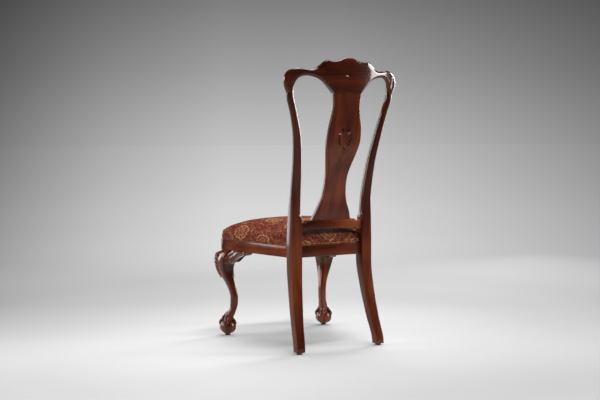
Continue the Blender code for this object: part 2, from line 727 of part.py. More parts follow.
def pattern_holes():
    """Outlines of the pierced tulip: three lobes, two hooked slots and a small star."""
    low = SPLAT_BOTTOM + SPLAT_HEIGHT * PATTERN_RISE_SHARE
    high = PATTERN_HEIGHT
    holes = [teardrop(x * high, low + z * high, length * high, LOBE_WIDTH, lean * math.pi)
             for x, z, length, lean in LOBE_SHARES]
    for side in (1, -1):
        path = smooth_line([(side * x * high, low + z * high) for x, z in HOOK_SHARES], 2)
        widths = [SLOT_WIDTH * between(HOOK_WIDTH_SHARES, index / 2)[0] for index in range(len(path))]
        holes.append(ribbon(path, widths))
    drop = high * DROP_HEIGHT_SHARE
    half = high * DROP_WIDTH_SHARE / 2
    holes.append([(0, low), (half, low + drop / 2), (0, low + drop), (-half, low + drop / 2)])
    return holes


def make_splat(shop):
    """Back splat: vase outline, S in side view, pierced tulip, a tenon at each end."""
    side = [(SPLAT_WIDTH / 2 * share, SPLAT_BOTTOM + SPLAT_HEIGHT * rise)
            for rise, share in SPLAT_HALF_SHARES]
    over = Vector((0, OVERRUN + SPLAT_EDGE))
    right = smooth_line(side, 2)
    right = [right[0] - over] + right + [right[-1] + over]
    outline = [(x, z) for x, z in right] + [(-x, z) for x, z in reversed(right)]
    shape = plate("splat", outline, SPLAT_THICKNESS, SPLAT_EDGE)
    trim(shape, Vector((0, 0, SPLAT_BOTTOM)), Vector((0, 0, -1)))
    trim(shape, Vector((0, 0, SPLAT_TOP)), Vector((0, 0, 1)))
    ease_flats(shape)
    step = SPLAT_HEIGHT / SPLAT_SLICES
    slice_across(shape, [SPLAT_BOTTOM + step * index for index in range(1, SPLAT_SLICES)], Vector((0, 0, 1)))
    for vert in shape.verts:
        vert.co.y += splat_middle(vert.co.z)
    splat = shop.piece("back_splat", mesh_from("splat", shape), "mahogany")
    for height in (SPLAT_BOTTOM, SPLAT_TOP):
        shop.join(splat, splat_tenon(height))
    centre = SPLAT_BOTTOM + SPLAT_HEIGHT * PATTERN_RISE_SHARE + PATTERN_HEIGHT / 2
    for outline in pattern_holes():
        shop.cut(splat, through(outline, splat_middle(centre), SPLAT_THICKNESS * 2))


# Seat frame


def frame_path(inset):
    """Left half of the frame's outline in plan, from the front centre to the post."""
    centre = corner_centre()
    radius = SEAT_CORNER_RADIUS - inset
    path = [Vector((0, FRONT_FACE + inset))]
    sweep = math.pi / 2 + SIDE_ANGLE
    for step in range(CORNER_STEPS + 1):
        angle = -math.pi / 2 + sweep * step / CORNER_STEPS
        path.append(centre + Vector((math.cos(angle), math.sin(angle))) * radius)
    path.append(side_point(0, inset))
    return path


def side_point(forward, inset):
    """A point on the left side rail, forward of the post's face and in from the outer face."""
    start = Vector((POST_FACE, -POST_HALF)) - SIDE_OUTWARD.xy * inset
    run = (forward - SIDE_OUTWARD.y * inset) / SIDE_FORWARD.y
    return start - SIDE_FORWARD.xy * run


def corner_centre():
    """Centre of the rounded front corner."""
    y = FRONT_FACE + SEAT_CORNER_RADIUS
    return Vector((side_point(-POST_HALF - y, SEAT_CORNER_RADIUS).x, y))


def inner_corner():
    """Where the inner faces of the front rail and the left side rail meet."""
    y = FRONT_FACE + RAIL_THICKNESS
    return Vector((side_point(-POST_HALF - y, RAIL_THICKNESS).x, y))


def make_rails(shop):
    """Four seat rails: the front ones meet in mitred, rounded corners."""
    outer = frame_path(0)
    meeting = 1 + CORNER_STEPS // 2
    inner = inner_corner()
    mitre = (outer[meeting] - inner).normalized()
    shift = Vector((-mitre.y, mitre.x)) * GAP / 2
    front = outer[1:meeting] + [outer[meeting] - shift, inner - shift]
    loop = front + [Vector((-p.x, p.y)) for p in reversed(front)]
    shop.piece("front_seat_rail", prism("front_rail", loop, RAIL_BOTTOM, RAIL_TOP), "mahogany")
    side = [outer[meeting] + shift] + outer[meeting + 1:-1]
    side += [side_point(GAP, 0), side_point(GAP, RAIL_THICKNESS), inner + shift]
    for sign, word in ((1, "left"), (-1, "right")):
        mesh = on_side(prism("side_rail", side, RAIL_BOTTOM, RAIL_TOP), sign)
        rail = shop.piece("side_seat_rail_" + word, mesh, "mahogany")
        shop.join(rail, on_side(side_tenon(), sign))
    half = POST_SPREAD - POST_HALF - GAP
    low = (-half, REAR_RAIL_BACK - RAIL_THICKNESS, RAIL_BOTTOM)
    rear = shop.piece("rear_seat_rail", box(low, (half, REAR_RAIL_BACK, RAIL_TOP)), "mahogany")
    for sign in (1, -1):
        shop.join(rear, on_side(
            cross_tenon(REAR_RAIL_BACK, RAIL_THICKNESS, RAIL_BOTTOM, RAIL_TOP), sign))


# Front legs


def leg_station(height):
    """Outward shift, half width and squareness of the front leg at a height."""
    shift, width, power = between(LEG_SHARES, height / LEG_TOP)
    return LEG_SWING * shift, LEG_TOP_WIDTH * width / 2, power


def leg_middle(height):
    """Centre of the left front leg's section at a height."""
    return LEG_FOOT + DIAGONAL * leg_station(height)[0] + Vector((0, 0, height))


def leg_ring(height, grow=0.0):
    """Section of the left front leg: round at the ankle, nearly square at the knee."""
    shift, half, power = leg_station(height)
    middle = leg_middle(height)
    ring = []
    for step in range(LEG_SIDES):
        angle = 2 * math.pi * (step + 0.5) / LEG_SIDES
        x = math.copysign(abs(math.cos(angle)) ** (2 / power), math.cos(angle))
        y = math.copysign(abs(math.sin(angle)) ** (2 / power), math.sin(angle))
        ring.append(middle + Vector((x, y, 0)) * (half + grow))
    return ring


def leg_body(grow=0.0):
    """The leg from the ball up to the rails."""
    low = LEG_SHARES[0][0] * LEG_TOP
    step = (LEG_TOP - low) / LEG_LEVELS
    rings = [leg_ring(low + step * index, grow) for index in range(LEG_LEVELS + 1)]
    return loft("leg", rings)


def stub_corners():
    """Plan corners of the leg's inner post, against both rails' inner faces."""
    front = FRONT_FACE + RAIL_THICKNESS + GAP
    back = front + STUB_WIDTH
    outer = side_point(-POST_HALF - back, RAIL_THICKNESS).x - GAP * 2
    return Vector((outer - STUB_WIDTH, front)), Vector((outer, back))


def claw(direction):
    """One talon over the ball, from the ankle to its tip, in a direction in plan."""
    curve = bpy.data.curves.new("claw", "CURVE")
    curve.dimensions = "3D"
    curve.bevel_depth = BALL_RADIUS
    curve.bevel_resolution = 1
    curve.use_fill_caps = True
    spline = curve.splines.new("POLY")
    rows = [(index, *row) for index, row in enumerate(CLAW_SHARES)]
    spline.points.add(CLAW_STEPS)
    for step, point in enumerate(spline.points):
        out, rise, thick = between(rows, (len(rows) - 1) * step / CLAW_STEPS)
        height = WOOD_BOTTOM + rise * BALL_RADIUS
        follow = min(max(height / BALL_RADIUS - 2, 0) * TOE_ROOT_SHARE, 1)
        root = DIAGONAL * leg_station(height)[0] * follow
        place = LEG_FOOT + root + direction * out * BALL_RADIUS
        point.co = (place.x, place.y, height, 1)
        point.radius = thick
    holder = bpy.data.objects.new("claw", curve)
    bpy.context.scene.collection.objects.link(holder)
    bpy.context.view_layer.update()
    mesh = bpy.data.meshes.new_from_object(holder.evaluated_get(bpy.context.evaluated_depsgraph_get()))
    bpy.data.objects.remove(holder, do_unlink=True)
    shape = bmesh.new()
    shape.from_mesh(mesh)
    bmesh.ops.remove_doubles(shape, verts=shape.verts[:], dist=GAP / 10)
    return mesh_from("claw", shape)


def ball():
    """The ball of the foot, cut flat where the glide sits."""
    shape = bmesh.new()
    bmesh.ops.create_uvsphere(shape, u_segments=16, v_segments=12, radius=BALL_RADIUS)
    bmesh.ops.translate(shape, verts=shape.verts[:], vec=LEG_FOOT + Vector((0, 0, BALL_HEIGHT)))
    flat = WOOD_BOTTOM + BALL_RADIUS / 25
    trim(shape, Vector((0, 0, flat)), Vector((0, 0, -1)))
    drop = [vert for vert in shape.verts if vert.co.z < flat + GAP]
    bmesh.ops.translate(shape, verts=drop, vec=(0, 0, WOOD_BOTTOM - flat))
    return mesh_from("ball", shape)


def nail_hole(foot):
    """Hole for a glide's nail."""
    low = Vector((foot.x, foot.y, WOOD_BOTTOM - OVERRUN))
    high = Vector((foot.x, foot.y, WOOD_BOTTOM + NAIL_LENGTH + GAP))
    return rod(low, high, NAIL_RADIUS + GAP)


def make_front_legs(shop):
    """Cabriole legs, each one piece with its ball-and-claw foot and inner post."""
    low, high = stub_corners()
    stub_low = (low.x, low.y, RAIL_BOTTOM - OVERRUN)
    stub_high = (high.x, high.y, RAIL_TOP - STUB_SHORT)
    for side, word in ((1, "left"), (-1, "right")):
        leg = shop.piece("front_leg_" + word, on_side(leg_body(), side), "mahogany")
        shop.join(leg, on_side(ball(), side))
        for quarter in range(4):
            turn = Matrix.Rotation(math.pi / 2 * quarter, 3, "Z")
            shop.join(leg, on_side(claw(turn @ DIAGONAL), side))
        shop.join(leg, on_side(box(stub_low, stub_high), side))
        shop.cut(leg, on_side(nail_hole(LEG_FOOT), side))
        start, end = front_bolt_line()
        shop.cut(leg, on_side(rod(start, end, BOLT_DIAMETER / 2 + GAP), side))


# Knee brackets


def bracket(origin, along, outward, proud):
    """A knee bracket under a rail: its scrolled profile tapers away from the leg."""
    low = smooth_line([(BRACKET_LENGTH * run, -BRACKET_DROP * drop) for run, drop in BRACKET_SHARES], 2)
    start = -LEG_TOP_WIDTH / 6
    rise = OVERRUN
    outline = [(start, rise), (start, -BRACKET_DROP)] + [(x, z) for x, z in low]
    outline.append((BRACKET_LENGTH, rise))
    thickness = RAIL_THICKNESS + proud
    shape = plate("bracket", outline, thickness, BRACKET_EDGE, 0)
    trim(shape, Vector((0, 0, 0)), Vector((0, 0, 1)))
    ease_flats(shape)
    slice_across(shape, [BRACKET_LENGTH * part / 6 for part in range(6)], Vector((1, 0, 0)))
    slice_across(shape, [-BRACKET_SHELF * part / 2 for part in (1, 2)], Vector((0, 0, 1)))
    for vert in shape.verts:
        along_part = min(max(vert.co.x / BRACKET_LENGTH, 0), 1)
        outer_part = (thickness / 2 - vert.co.y) / thickness
        shelf_part = min(-vert.co.z / BRACKET_SHELF, 1)
        reach = RAIL_THICKNESS + proud * (1 - along_part) ** 2 * shelf_part * (2 - shelf_part)
        depth = RAIL_THICKNESS - reach * outer_part
        place = origin + along * vert.co.x - outward * depth
        vert.co = Vector((place.x, place.y, LEG_TOP + vert.co.z))
    return mesh_from("bracket", shape)


def make_brackets(shop):
    """Two brackets to each front leg, cut to its rounded side."""
    leg_half = LEG_TOP_WIDTH / 2
    middle = leg_middle(LEG_TOP)
    front_origin = Vector((middle.x - leg_half, FRONT_FACE, 0))
    side_start = side_point(-POST_HALF - (middle.y + leg_half), 0)
    side_origin = Vector((side_start.x, side_start.y, 0))
    places = (
        ("front", front_origin, Vector((-1, 0, 0)), Vector((0, -1, 0)), BRACKET_PROUD),
        ("side", side_origin, -SIDE_FORWARD, SIDE_OUTWARD, SIDE_BRACKET_PROUD),
    )
    for side, word in ((1, "left"), (-1, "right")):
        for place, origin, along, outward, proud in places:
            mesh = on_side(bracket(origin, along, outward, proud), side)
            item = shop.piece("knee_bracket_" + place + "_" + word, mesh, "mahogany")
            shop.cut(item, on_side(leg_body(GAP), side))


# Corner blocks and their fasteners


def front_block_outline():
    """Plan of the left front corner block: round the leg's inner post, against both rails."""
    low, high = stub_corners()
    y = FRONT_FACE + RAIL_THICKNESS + GAP
    near = Vector((low.x - GAP, y))
    far = Vector((low.x - BLOCK_LEG, y))
    side_far = side_point(-POST_HALF - (high.y + BLOCK_LEG), RAIL_THICKNESS + GAP)
    side_near = side_point(-POST_HALF - (high.y + GAP), RAIL_THICKNESS + GAP)
    notch = Vector((low.x - GAP, high.y + GAP))
    return [near, far, side_far, side_near, notch]


def rear_block_outline():
    """Plan of the left rear corner block: round the post, against the rear and side rails."""
    y = REAR_RAIL_BACK - RAIL_THICKNESS - GAP
    post = POST_SPREAD - POST_HALF - GAP
    near = Vector((post, y))
    far = Vector((post - BLOCK_LEG, y))
    side_far = side_point(BLOCK_LEG, RAIL_THICKNESS + GAP)
    side_near = side_point(GAP, RAIL_THICKNESS + GAP)
    notch = Vector((post, -POST_HALF - GAP))
    return [near, far, side_far, side_near, notch]


def fastener_line(outline, inward_bite):
    """Start on the block's long face, direction into the corner, and end in the post."""
    near, far, side_far, side_near, notch = outline
    start = (far + side_far) / 2
    across = (side_far - far).normalized()
    into = Vector((across.y, -across.x))
    if into.dot(notch - start) < 0:
        into = -into
    height = (BLOCK_TOP + BLOCK_BOTTOM) / 2
    reach = (notch - start).dot(into) + inward_bite
    begin = Vector((start.x, start.y, height))
    return begin, Vector((into.x, into.y, 0)), reach


def front_bolt_line(grow=GAP):
    """The hanger bolt's axis through the front block into the leg's inner post."""
    start, into, reach = fastener_line(front_block_outline(), BOLT_BITE)
    return start - into * (BOLT_PROUD + grow), start + into * (reach + grow)


def rear_screw_line(grow=GAP):
    """The post screw's axis through the rear block into the post."""
    start, into, reach = fastener_line(rear_block_outline(), BOLT_BITE / 2)
    return start - into * grow, start + into * (reach + grow)


def headed_screw(start, end, radius, head_radius, head_height):
    """A screw with a plain pan head, its head's seat at the start."""
    start = Vector(start)
    axis = Vector(end) - start
    profile = (
        (0, -head_height), (head_radius * SCREW_DOME_SHARE, -head_height), (head_radius, -head_height / 3),
        (head_radius, 0), (radius, 0), (radius, axis.length - radius), (0, axis.length),
    )
    shape = bmesh.new()
    verts = [shape.verts.new((x, 0, z)) for x, z in profile]
    edges = [shape.edges.new(pair) for pair in zip(verts, verts[1:])]
    bmesh.ops.spin(
        shape, geom=verts + edges, cent=(0, 0, 0), axis=(0, 0, 1), angle=2 * math.pi,
        steps=SCREW_SIDES, use_merge=True,
    )
    bmesh.ops.remove_doubles(shape, verts=shape.verts[:], dist=GAP / 10)
    turn = axis.to_track_quat("Z", "Y").to_matrix().to_4x4()
    bmesh.ops.transform(shape, verts=shape.verts[:], matrix=Matrix.Translation(start) @ turn)
    return mesh_from("screw", shape)


def seat_screw_place(outline):
    """Where a seat screw goes up through a block, midway between its long face and the corner."""
    near, far, side_far, side_near, notch = outline
    start = (far + side_far) / 2
    across = side_far - far
    return start + (notch - start) * SEAT_SCREW_IN_SHARE + across * SEAT_SCREW_SIDE_SHARE


def make_blocks(shop):
    """Corner blocks with their bolts, nuts and screws."""
    kinds = (("front", front_block_outline()), ("rear", rear_block_outline()))
    for side, word in ((1, "left"), (-1, "right")):
        for kind, outline in kinds:
            name = kind + "_" + word
            block = shop.piece(
                "corner_block_" + name, on_side(prism("block", outline, BLOCK_BOTTOM, BLOCK_TOP), side), "birch")
            place = seat_screw_place(outline)
            seat = Vector((place.x, place.y, BLOCK_BOTTOM - GAP))
            tip = Vector((place.x, place.y, BOARD_LOW + SEAT_SCREW_BITE))
            shop.cut(block, on_side(rod(seat, tip, SCREW_DIAMETER / 2 + GAP), side))
            screw = headed_screw(seat, tip, SCREW_DIAMETER / 2, SCREW_HEAD / 2, SCREW_HEAD_HEIGHT)
            shop.piece("seat_screw_" + name, on_side(screw, side), "steel")
        start, end = front_bolt_line(GAP)
        block = bpy.data.objects["corner_block_front_" + word]
        shop.cut(block, on_side(rod(start, end, BOLT_DIAMETER / 2 + GAP), side))
        start, end = front_bolt_line(0)
        bolt = rod(start, end, BOLT_DIAMETER / 2)
        shop.piece("leg_bolt_" + word, on_side(bolt, side), "steel")
        seat, into, reach = fastener_line(front_block_outline(), BOLT_BITE)
        seat = seat - into * GAP
        nut = rod(seat - into * NUT_HEIGHT, seat, NUT_WIDTH / 2, 6)
        nut_item = shop.piece("leg_nut_" + word, on_side(nut, side), "steel")
        bore = rod(seat - into * (NUT_HEIGHT + OVERRUN), seat + into * OVERRUN, BOLT_DIAMETER / 2 + GAP)
        shop.cut(nut_item, on_side(bore, side))
        start, end = rear_screw_line(GAP)
        block = bpy.data.objects["corner_block_rear_" + word]
        shop.cut(block, on_side(rod(start, end, SCREW_DIAMETER / 2 + GAP), side))
        seat, into, reach = fastener_line(rear_block_outline(), BOLT_BITE / 2)
        seat = seat - into * GAP
        screw = headed_screw(
            seat, seat + into * reach, SCREW_DIAMETER / 2, SCREW_HEAD / 2, SCREW_HEAD_HEIGHT)
        shop.piece("post_screw_" + word, on_side(screw, side), "steel")


# Seat pad


def pad_outline(inset):
    """Plan of the seat pad: just inside the rails' faces, notched round the posts."""
    inset += PAD_INSET
    corner = frame_path(inset)[1:-1]
    clear = PAD_NOTCH_GAP + inset
    inner_of_post = POST_SPREAD - POST_HALF - clear
    side_end = side_point(clear, inset)
    front = [corner[0] * part for part in (0, 1 / 3, 2 / 3)]
    front = [Vector((point.x, corner[0].y)) for point in front]
    side = [corner[-1].lerp(side_end, part / 5) for part in range(1, 5)]
    back = REAR_RAIL_BACK - inset
    rear = [Vector((inner_of_post, -POST_HALF - clear)), Vector((inner_of_post, back)),
            Vector((inner_of_post / 2, back)), Vector((0, back))]
    half = front + corner + side + [side_end] + rear
    return half + [Vector((-point.x, point.y)) for point in reversed(half[1:-1])]


def edge_distance(point, outline):
    """Distance from a point in plan to the outline."""
    best = SEAT_DEPTH
    for start, end in zip(outline, outline[1:] + outline[:1]):
        run = end - start
        part = min(max((point - start).dot(run) / run.length_squared, 0), 1)
        best = min(best, (point - start - run * part).length)
    return best


def pad_place(point, height, outline):
    """A point of the pad's skin in space, with the crown and the drawn-in sides."""
    middle = (FRONT_FACE + REAR_RAIL_BACK) / 2
    reach = REAR_RAIL_BACK - middle
    run_x = point.x / (SEAT_FRONT_WIDTH / 2)
    run_y = (point.y - middle) / reach
    part = min(edge_distance(point, outline) / PAD_SHOULDER, 1)
    from_peak = run_y + PAD_PEAK_FORWARD / reach
    dome = 1 - PAD_FALL_X_SHARE * run_x ** 2 - PAD_FALL_Y_SHARE * from_peak ** 2
    rise = min(max((height - BOARD_TOP) / (PAD_EDGE - BOARD_TOP), 0), 1)
    return Vector((
        point.x - PAD_DRAW * rise * max(1 - run_y ** 2, 0) * run_x,
        point.y - PAD_DRAW * rise * max(1 - run_x ** 2, 0) * run_y,
        height + PAD_CROWN * (1 - (1 - part) ** 2) * dome,
    ))


def pad_skin(low_levels):
    """Open skin of the pad: an upright side in levels, then rings up to the crown's middle."""
    outline = pad_outline(0)
    centre = Vector((0, (FRONT_FACE + REAR_RAIL_BACK) / 2))
    shape = bmesh.new()
    rows = []
    for height in (*low_levels, (BOARD_TOP + PAD_EDGE) / 2, PAD_EDGE):
        rows.append([shape.verts.new(pad_place(point, height, outline)) for point in outline])
    for share in PAD_RING_SHARES:
        ring = [point.lerp(centre, share) for point in outline]
        rows.append([shape.verts.new(pad_place(point, PAD_EDGE, outline)) for point in ring])
    pole = shape.verts.new(pad_place(centre, PAD_EDGE, outline))
    count = len(outline)
    for low, high in zip(rows, rows[1:]):
        for index in range(count):
            after = (index + 1) % count
            shape.faces.new((low[index], low[after], high[after], high[index]))
    for index in range(count):
        shape.faces.new((rows[-1][index], rows[-1][(index + 1) % count], pole))
    bmesh.ops.triangulate(shape, faces=shape.faces[:], quad_method="FIXED")
    shape.normal_update()
    return shape


def make_pad(shop):
    """Board, foam, cloth and dust cloth of the seat pad, which is screwed down from below."""
    inner = CLOTH + FOAM_EASE
    board = shop.piece("seat_board", prism("board", pad_outline(inner), BOARD_LOW, BOARD_TOP), "birch")
    shape = pad_skin([BOARD_TOP + GAP])
    places = [vert.co - vert.normal * inner * vert.calc_shell_factor() for vert in shape.verts]
    for vert, place in zip(shape.verts, places):
        vert.co = place
    bmesh.ops.holes_fill(shape, edges=[edge for edge in shape.edges if edge.is_boundary])
    shop.piece("seat_foam", mesh_from("foam", shape), "foam")
    mesh = bpy.data.meshes.new("cover")
    shape = pad_skin([RAIL_TOP + GAP, BOARD_TOP + GAP])
    shape.to_mesh(mesh)
    shape.free()
    cover = shop.piece("seat_cover", mesh, "brocade")
    skin = cover.modifiers.new("cloth", "SOLIDIFY")
    skin.thickness = CLOTH
    skin.offset = -1
    skin.use_even_offset = True
    dust_top = BOARD_LOW - GAP
    dust = prism("dust", frame_inner_outline(RAIL_THICKNESS + DUST_INSET), dust_top - DUST_CLOTH, dust_top)
    dust_item = shop.piece("dust_cover", dust, "black_cloth")
    for outline in (front_block_outline(), rear_block_outline()):
        place = seat_screw_place(outline)
        low = Vector((place.x, place.y, BLOCK_TOP))
        high = Vector((place.x, place.y, BOARD_LOW + SEAT_SCREW_BITE + GAP))
        for side in (1, -1):
            hole = on_side(rod(low, high, SCREW_DIAMETER / 2 + GAP), side)
            shop.cut(board, hole)
            shop.cut(dust_item, hole.copy())


def frame_inner_outline(inset):
    """Plan of the opening inside the rails, kept clear of the posts."""
    y = FRONT_FACE + inset
    corner = side_point(-POST_HALF - y, inset)
    clear = PAD_NOTCH_GAP + CLOTH + DUST_INSET
    post_front = -POST_HALF - clear
    post_inner = POST_SPREAD - POST_HALF - clear
    back = REAR_RAIL_BACK - inset
    half = [corner, side_point(clear, inset), Vector((post_inner, post_front)),
            Vector((post_inner, back))]
    return half + [Vector((-p.x, p.y)) for p in reversed(half)]


# Glides


def glide(foot):
    """A nail-on glide under a foot."""
    radius = GLIDE_RADIUS
    profile = (
        (0, WOOD_BOTTOM + NAIL_LENGTH), (NAIL_RADIUS, WOOD_BOTTOM + NAIL_LENGTH - NAIL_RADIUS),
        (NAIL_RADIUS, GLIDE_HEIGHT), (radius, GLIDE_HEIGHT), (radius, GLIDE_HEIGHT / 3),
        (radius * GLIDE_CROWN_SHARE, 0), (0, 0),
    )
    shape = bmesh.new()
    verts = [shape.verts.new((x, 0, z)) for x, z in profile]
    edges = [shape.edges.new(pair) for pair in zip(verts, verts[1:])]
    bmesh.ops.spin(
        shape, geom=verts + edges, cent=(0, 0, 0), axis=(0, 0, 1), angle=2 * math.pi,
        steps=GLIDE_SIDES, use_merge=True,
    )
    bmesh.ops.remove_doubles(shape, verts=shape.verts[:], dist=GAP / 10)
    bmesh.ops.translate(shape, verts=shape.verts[:], vec=(foot.x, foot.y, 0))
    return mesh_from("glide", shape)


def make_glides(shop):
    """One glide under each foot."""
    rear_foot = post_middle(WOOD_BOTTOM)[0]
    for side, word in ((1, "left"), (-1, "right")):
        shop.piece("glide_front_" + word, on_side(glide(LEG_FOOT), side), "nylon")
        shop.piece("glide_rear_" + word, on_side(glide(rear_foot), side), "nylon")


def centre_on_floor(shop):
    """Moves the chair and its cutters so that its outline is centred in plan."""
    bpy.context.view_layer.update()
    graph = bpy.context.evaluated_depsgraph_get()
    corners = []
    for item in shop.parts.objects:
        shown = item.evaluated_get(graph)
        corners += [shown.matrix_world @ vert.co for vert in shown.data.vertices]
    low = Vector([min(corner[axis] for corner in corners) for axis in range(3)])
    high = Vector([max(corner[axis] for corner in corners) for axis in range(3)])
    shift = Vector((-(low.x + high.x) / 2, -(low.y + high.y) / 2, -low.z))
    for item in list(shop.parts.objects) + list(shop.tools.objects):
        item.location = shift


def main():
    """Builds the chair."""
    clear_scene()
    shop = Workshop("dining_chair")
    make_posts(shop)
    make_crest(shop)
    make_shoe(shop)
    make_splat(shop)
    make_rails(shop)
    make_front_legs(shop)
    make_brackets(shop)
    make_blocks(shop)
    make_pad(shop)
    make_glides(shop)
    centre_on_floor(shop)


main()
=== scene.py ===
"""Dining side chair in lacquered mahogany with a brocade seat, seen from behind its left shoulder.

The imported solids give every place. Each sub-assembly is a class that holds its sizes, builds its
finer meshes over those solids and dresses them. Lengths are in metres, +Z is up and the sitter
faces -Y, with the left hand on +X.
"""

from __future__ import annotations

import logging
import math
from abc import ABC, abstractmethod
from collections.abc import Sequence
from dataclasses import dataclass, field
from enum import Enum

import bmesh
import bpy
import numpy as np
from mathutils import Matrix, Vector

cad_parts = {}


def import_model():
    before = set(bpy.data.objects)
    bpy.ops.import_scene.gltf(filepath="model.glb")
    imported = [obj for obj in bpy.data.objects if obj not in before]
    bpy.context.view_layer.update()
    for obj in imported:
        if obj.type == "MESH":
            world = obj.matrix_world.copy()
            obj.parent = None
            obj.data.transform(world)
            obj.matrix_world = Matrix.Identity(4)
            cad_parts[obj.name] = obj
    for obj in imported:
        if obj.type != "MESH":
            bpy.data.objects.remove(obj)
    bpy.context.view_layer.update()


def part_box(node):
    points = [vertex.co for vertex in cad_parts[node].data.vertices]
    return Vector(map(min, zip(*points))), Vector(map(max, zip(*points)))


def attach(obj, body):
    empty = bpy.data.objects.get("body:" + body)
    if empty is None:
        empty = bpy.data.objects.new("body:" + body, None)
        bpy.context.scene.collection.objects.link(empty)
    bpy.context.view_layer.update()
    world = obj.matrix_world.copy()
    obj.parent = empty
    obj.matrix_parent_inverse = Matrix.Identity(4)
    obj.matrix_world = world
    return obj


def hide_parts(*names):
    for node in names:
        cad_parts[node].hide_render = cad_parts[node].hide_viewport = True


LOG = logging.getLogger("dining_chair")
STAIN_GAIN = 1.15  # how fast a rail's stain deepens toward its ends
STAIN_DELAY = 0.1  # how much of that is held back round its lightest place
Mesh = bpy.types.Mesh
Material = bpy.types.Material
Array = np.ndarray
Values = np.ndarray | float
Colour = tuple[float, float, float]
Row = tuple[float, ...]
Rows = tuple[Row, ...]
Change = tuple[str, dict[str, object]]


class Side(Enum):
    """The two hands of the chair, as the sitter has them."""

    LEFT = 1
    RIGHT = -1

    @property
    def word(self) -> str:
        """The side as it stands in a node's name."""
        return self.name.lower()


class Grain(Enum):
    """Which way a board's grain runs, as the turn that lays it along the pattern's first axis."""

    ACROSS = (0.0, 0.0, 0.0)
    DEEP = (0.0, 0.0, -math.pi / 2)
    UPRIGHT = (0.0, math.pi / 2, 0.0)


# Curves and sections


def cubic_run(ends: Sequence[Values], rates: Sequence[Values], part: float) -> Values:
    """A cubic from one end to the other, which leaves and arrives at given rates.

    Args:
        ends: the value at the start and at the end.
        rates: how fast it changes at each, over the whole run.
        part: where to read, from 0 to 1.

    Returns:
        The value there.
    """
    return (
        ends[0] * (1 + 2 * part) * (1 - part) ** 2
        + rates[0] * part * (1 - part) ** 2
        + ends[1] * part**2 * (3 - 2 * part)
        - rates[1] * part**2 * (1 - part)
    )


def read_rows(rows: Sequence[Row], key: float) -> list[float]:
    """Reads a smooth curve through rows of a key and its values.

    Args:
        rows: rows of (key, value, ...), with rising keys.
        key: where to read.

    Returns:
        The values at that key.
    """
    last = len(rows) - 1
    index = max(i for i in range(last) if i == 0 or rows[i][0] <= key)
    low, high = rows[index], rows[index + 1]
    before, after = rows[max(index - 1, 0)], rows[min(index + 2, last)]
    span = high[0] - low[0]

    def rate(first: Row, here: Row, then: Row, column: int) -> float:
        """The change over the span at a row's slope, which is level where the curve turns back."""
        turns = (here[column] - first[column]) * (then[column] - here[column]) <= 0
        return 0.0 if turns else (then[column] - first[column]) / (then[0] - first[0]) * span

    values = []
    for column in range(1, len(low)):
        rates = (rate(before, low, high, column), rate(low, high, after, column))
        values.append(cubic_run((low[column], high[column]), rates, (key - low[0]) / span))
    return values


def smooth_line(points: Sequence[Sequence[float]], steps: int) -> Array:
    """Draws a smooth line through points.

    Args:
        points: the points, of any dimension.
        steps: how many steps lead from each point to the next.

    Returns:
        One row for each place on the line.
    """
    places = np.array(points, float)
    last = len(places) - 1
    line = []
    for index in range(last):
        before, start, end, after = [places[min(max(index + shift, 0), last)] for shift in (-1, 0, 1, 2)]
        for step in range(steps):
            line.append(cubic_run((start, end), ((end - before) / 2, (after - start) / 2), step / steps))
    line.append(places[last])
    return np.array(line)


def along_line(line: Array, place: float) -> Array:
    """The point at a fractional index of a line."""
    index = min(max(int(place), 0), len(line) - 2)
    return line[index] + (line[index + 1] - line[index]) * (place - index)


def soft_step(value: Values) -> Values:
    """Rises smoothly from 0 to 1 as the value does."""
    part = np.clip(value, 0, 1)
    return part * part * (3 - 2 * part)


def turned_on(value: Values, start: float, run: float) -> Values:
    """Rises smoothly from 0 at a start to 1 a run further on, or falls where the run is negative."""
    return soft_step((value - start) / run)


def bell(value: Values, place: float, width: float) -> Values:
    """A smooth bump of height 1 round a place."""
    return np.exp(-(((value - place) / width) ** 2))


def bumps(value: float, rows: Sequence[Row]) -> float:
    """The sum of smooth bumps, given as rows of place, width and height."""
    return sum(height * bell(value, place, width) for place, width, height in rows)


def rounded_section(
        half: float, thick: float, top: float, bottom: float, steps: int, flats: int) -> list[Row]:
    """A rectangle with rounded corners, as (along, across) points.

    Args:
        half: half its length, along.
        thick: half its thickness, across.
        top: radius of the two corners at its far end.
        bottom: radius of the two corners at its near end.
        steps: how many steps turn each corner.
        flats: how many steps cross each long face.

    Returns:
        The corners in order, the same count for every size.
    """
    points: list[Row] = []
    quarter = math.pi / 2
    corners = ((1, 1, top, 0.0), (-1, 1, bottom, quarter), (-1, -1, bottom, math.pi), (1, -1, top, -quarter))
    for along, across, radius, start in corners:
        centre = (along * (half - radius), across * (thick - radius))
        for step in range(steps + 1):
            angle = start + quarter * step / steps
            points.append((centre[0] + radius * math.cos(angle), centre[1] + radius * math.sin(angle)))
        if along * across > 0:
            far_radius = bottom if along > 0 else top
            end = (-along * (half - far_radius), across * thick)
            begin = points[-1]
            for step in range(1, flats):
                part = step / flats
                points.append((begin[0] + (end[0] - begin[0]) * part, begin[1] + (end[1] - begin[1]) * part))
    return points


# Meshes


def new_object(name: str, data: bpy.types.ID) -> bpy.types.Object:
    """Puts a new object in the scene.

    Args:
        name: the object's name.
        data: its mesh, lamp or camera.

    Returns:
        The object, at the origin.
    """
    item = bpy.data.objects.new(name, data)
    bpy.context.scene.collection.objects.link(item)
    return item


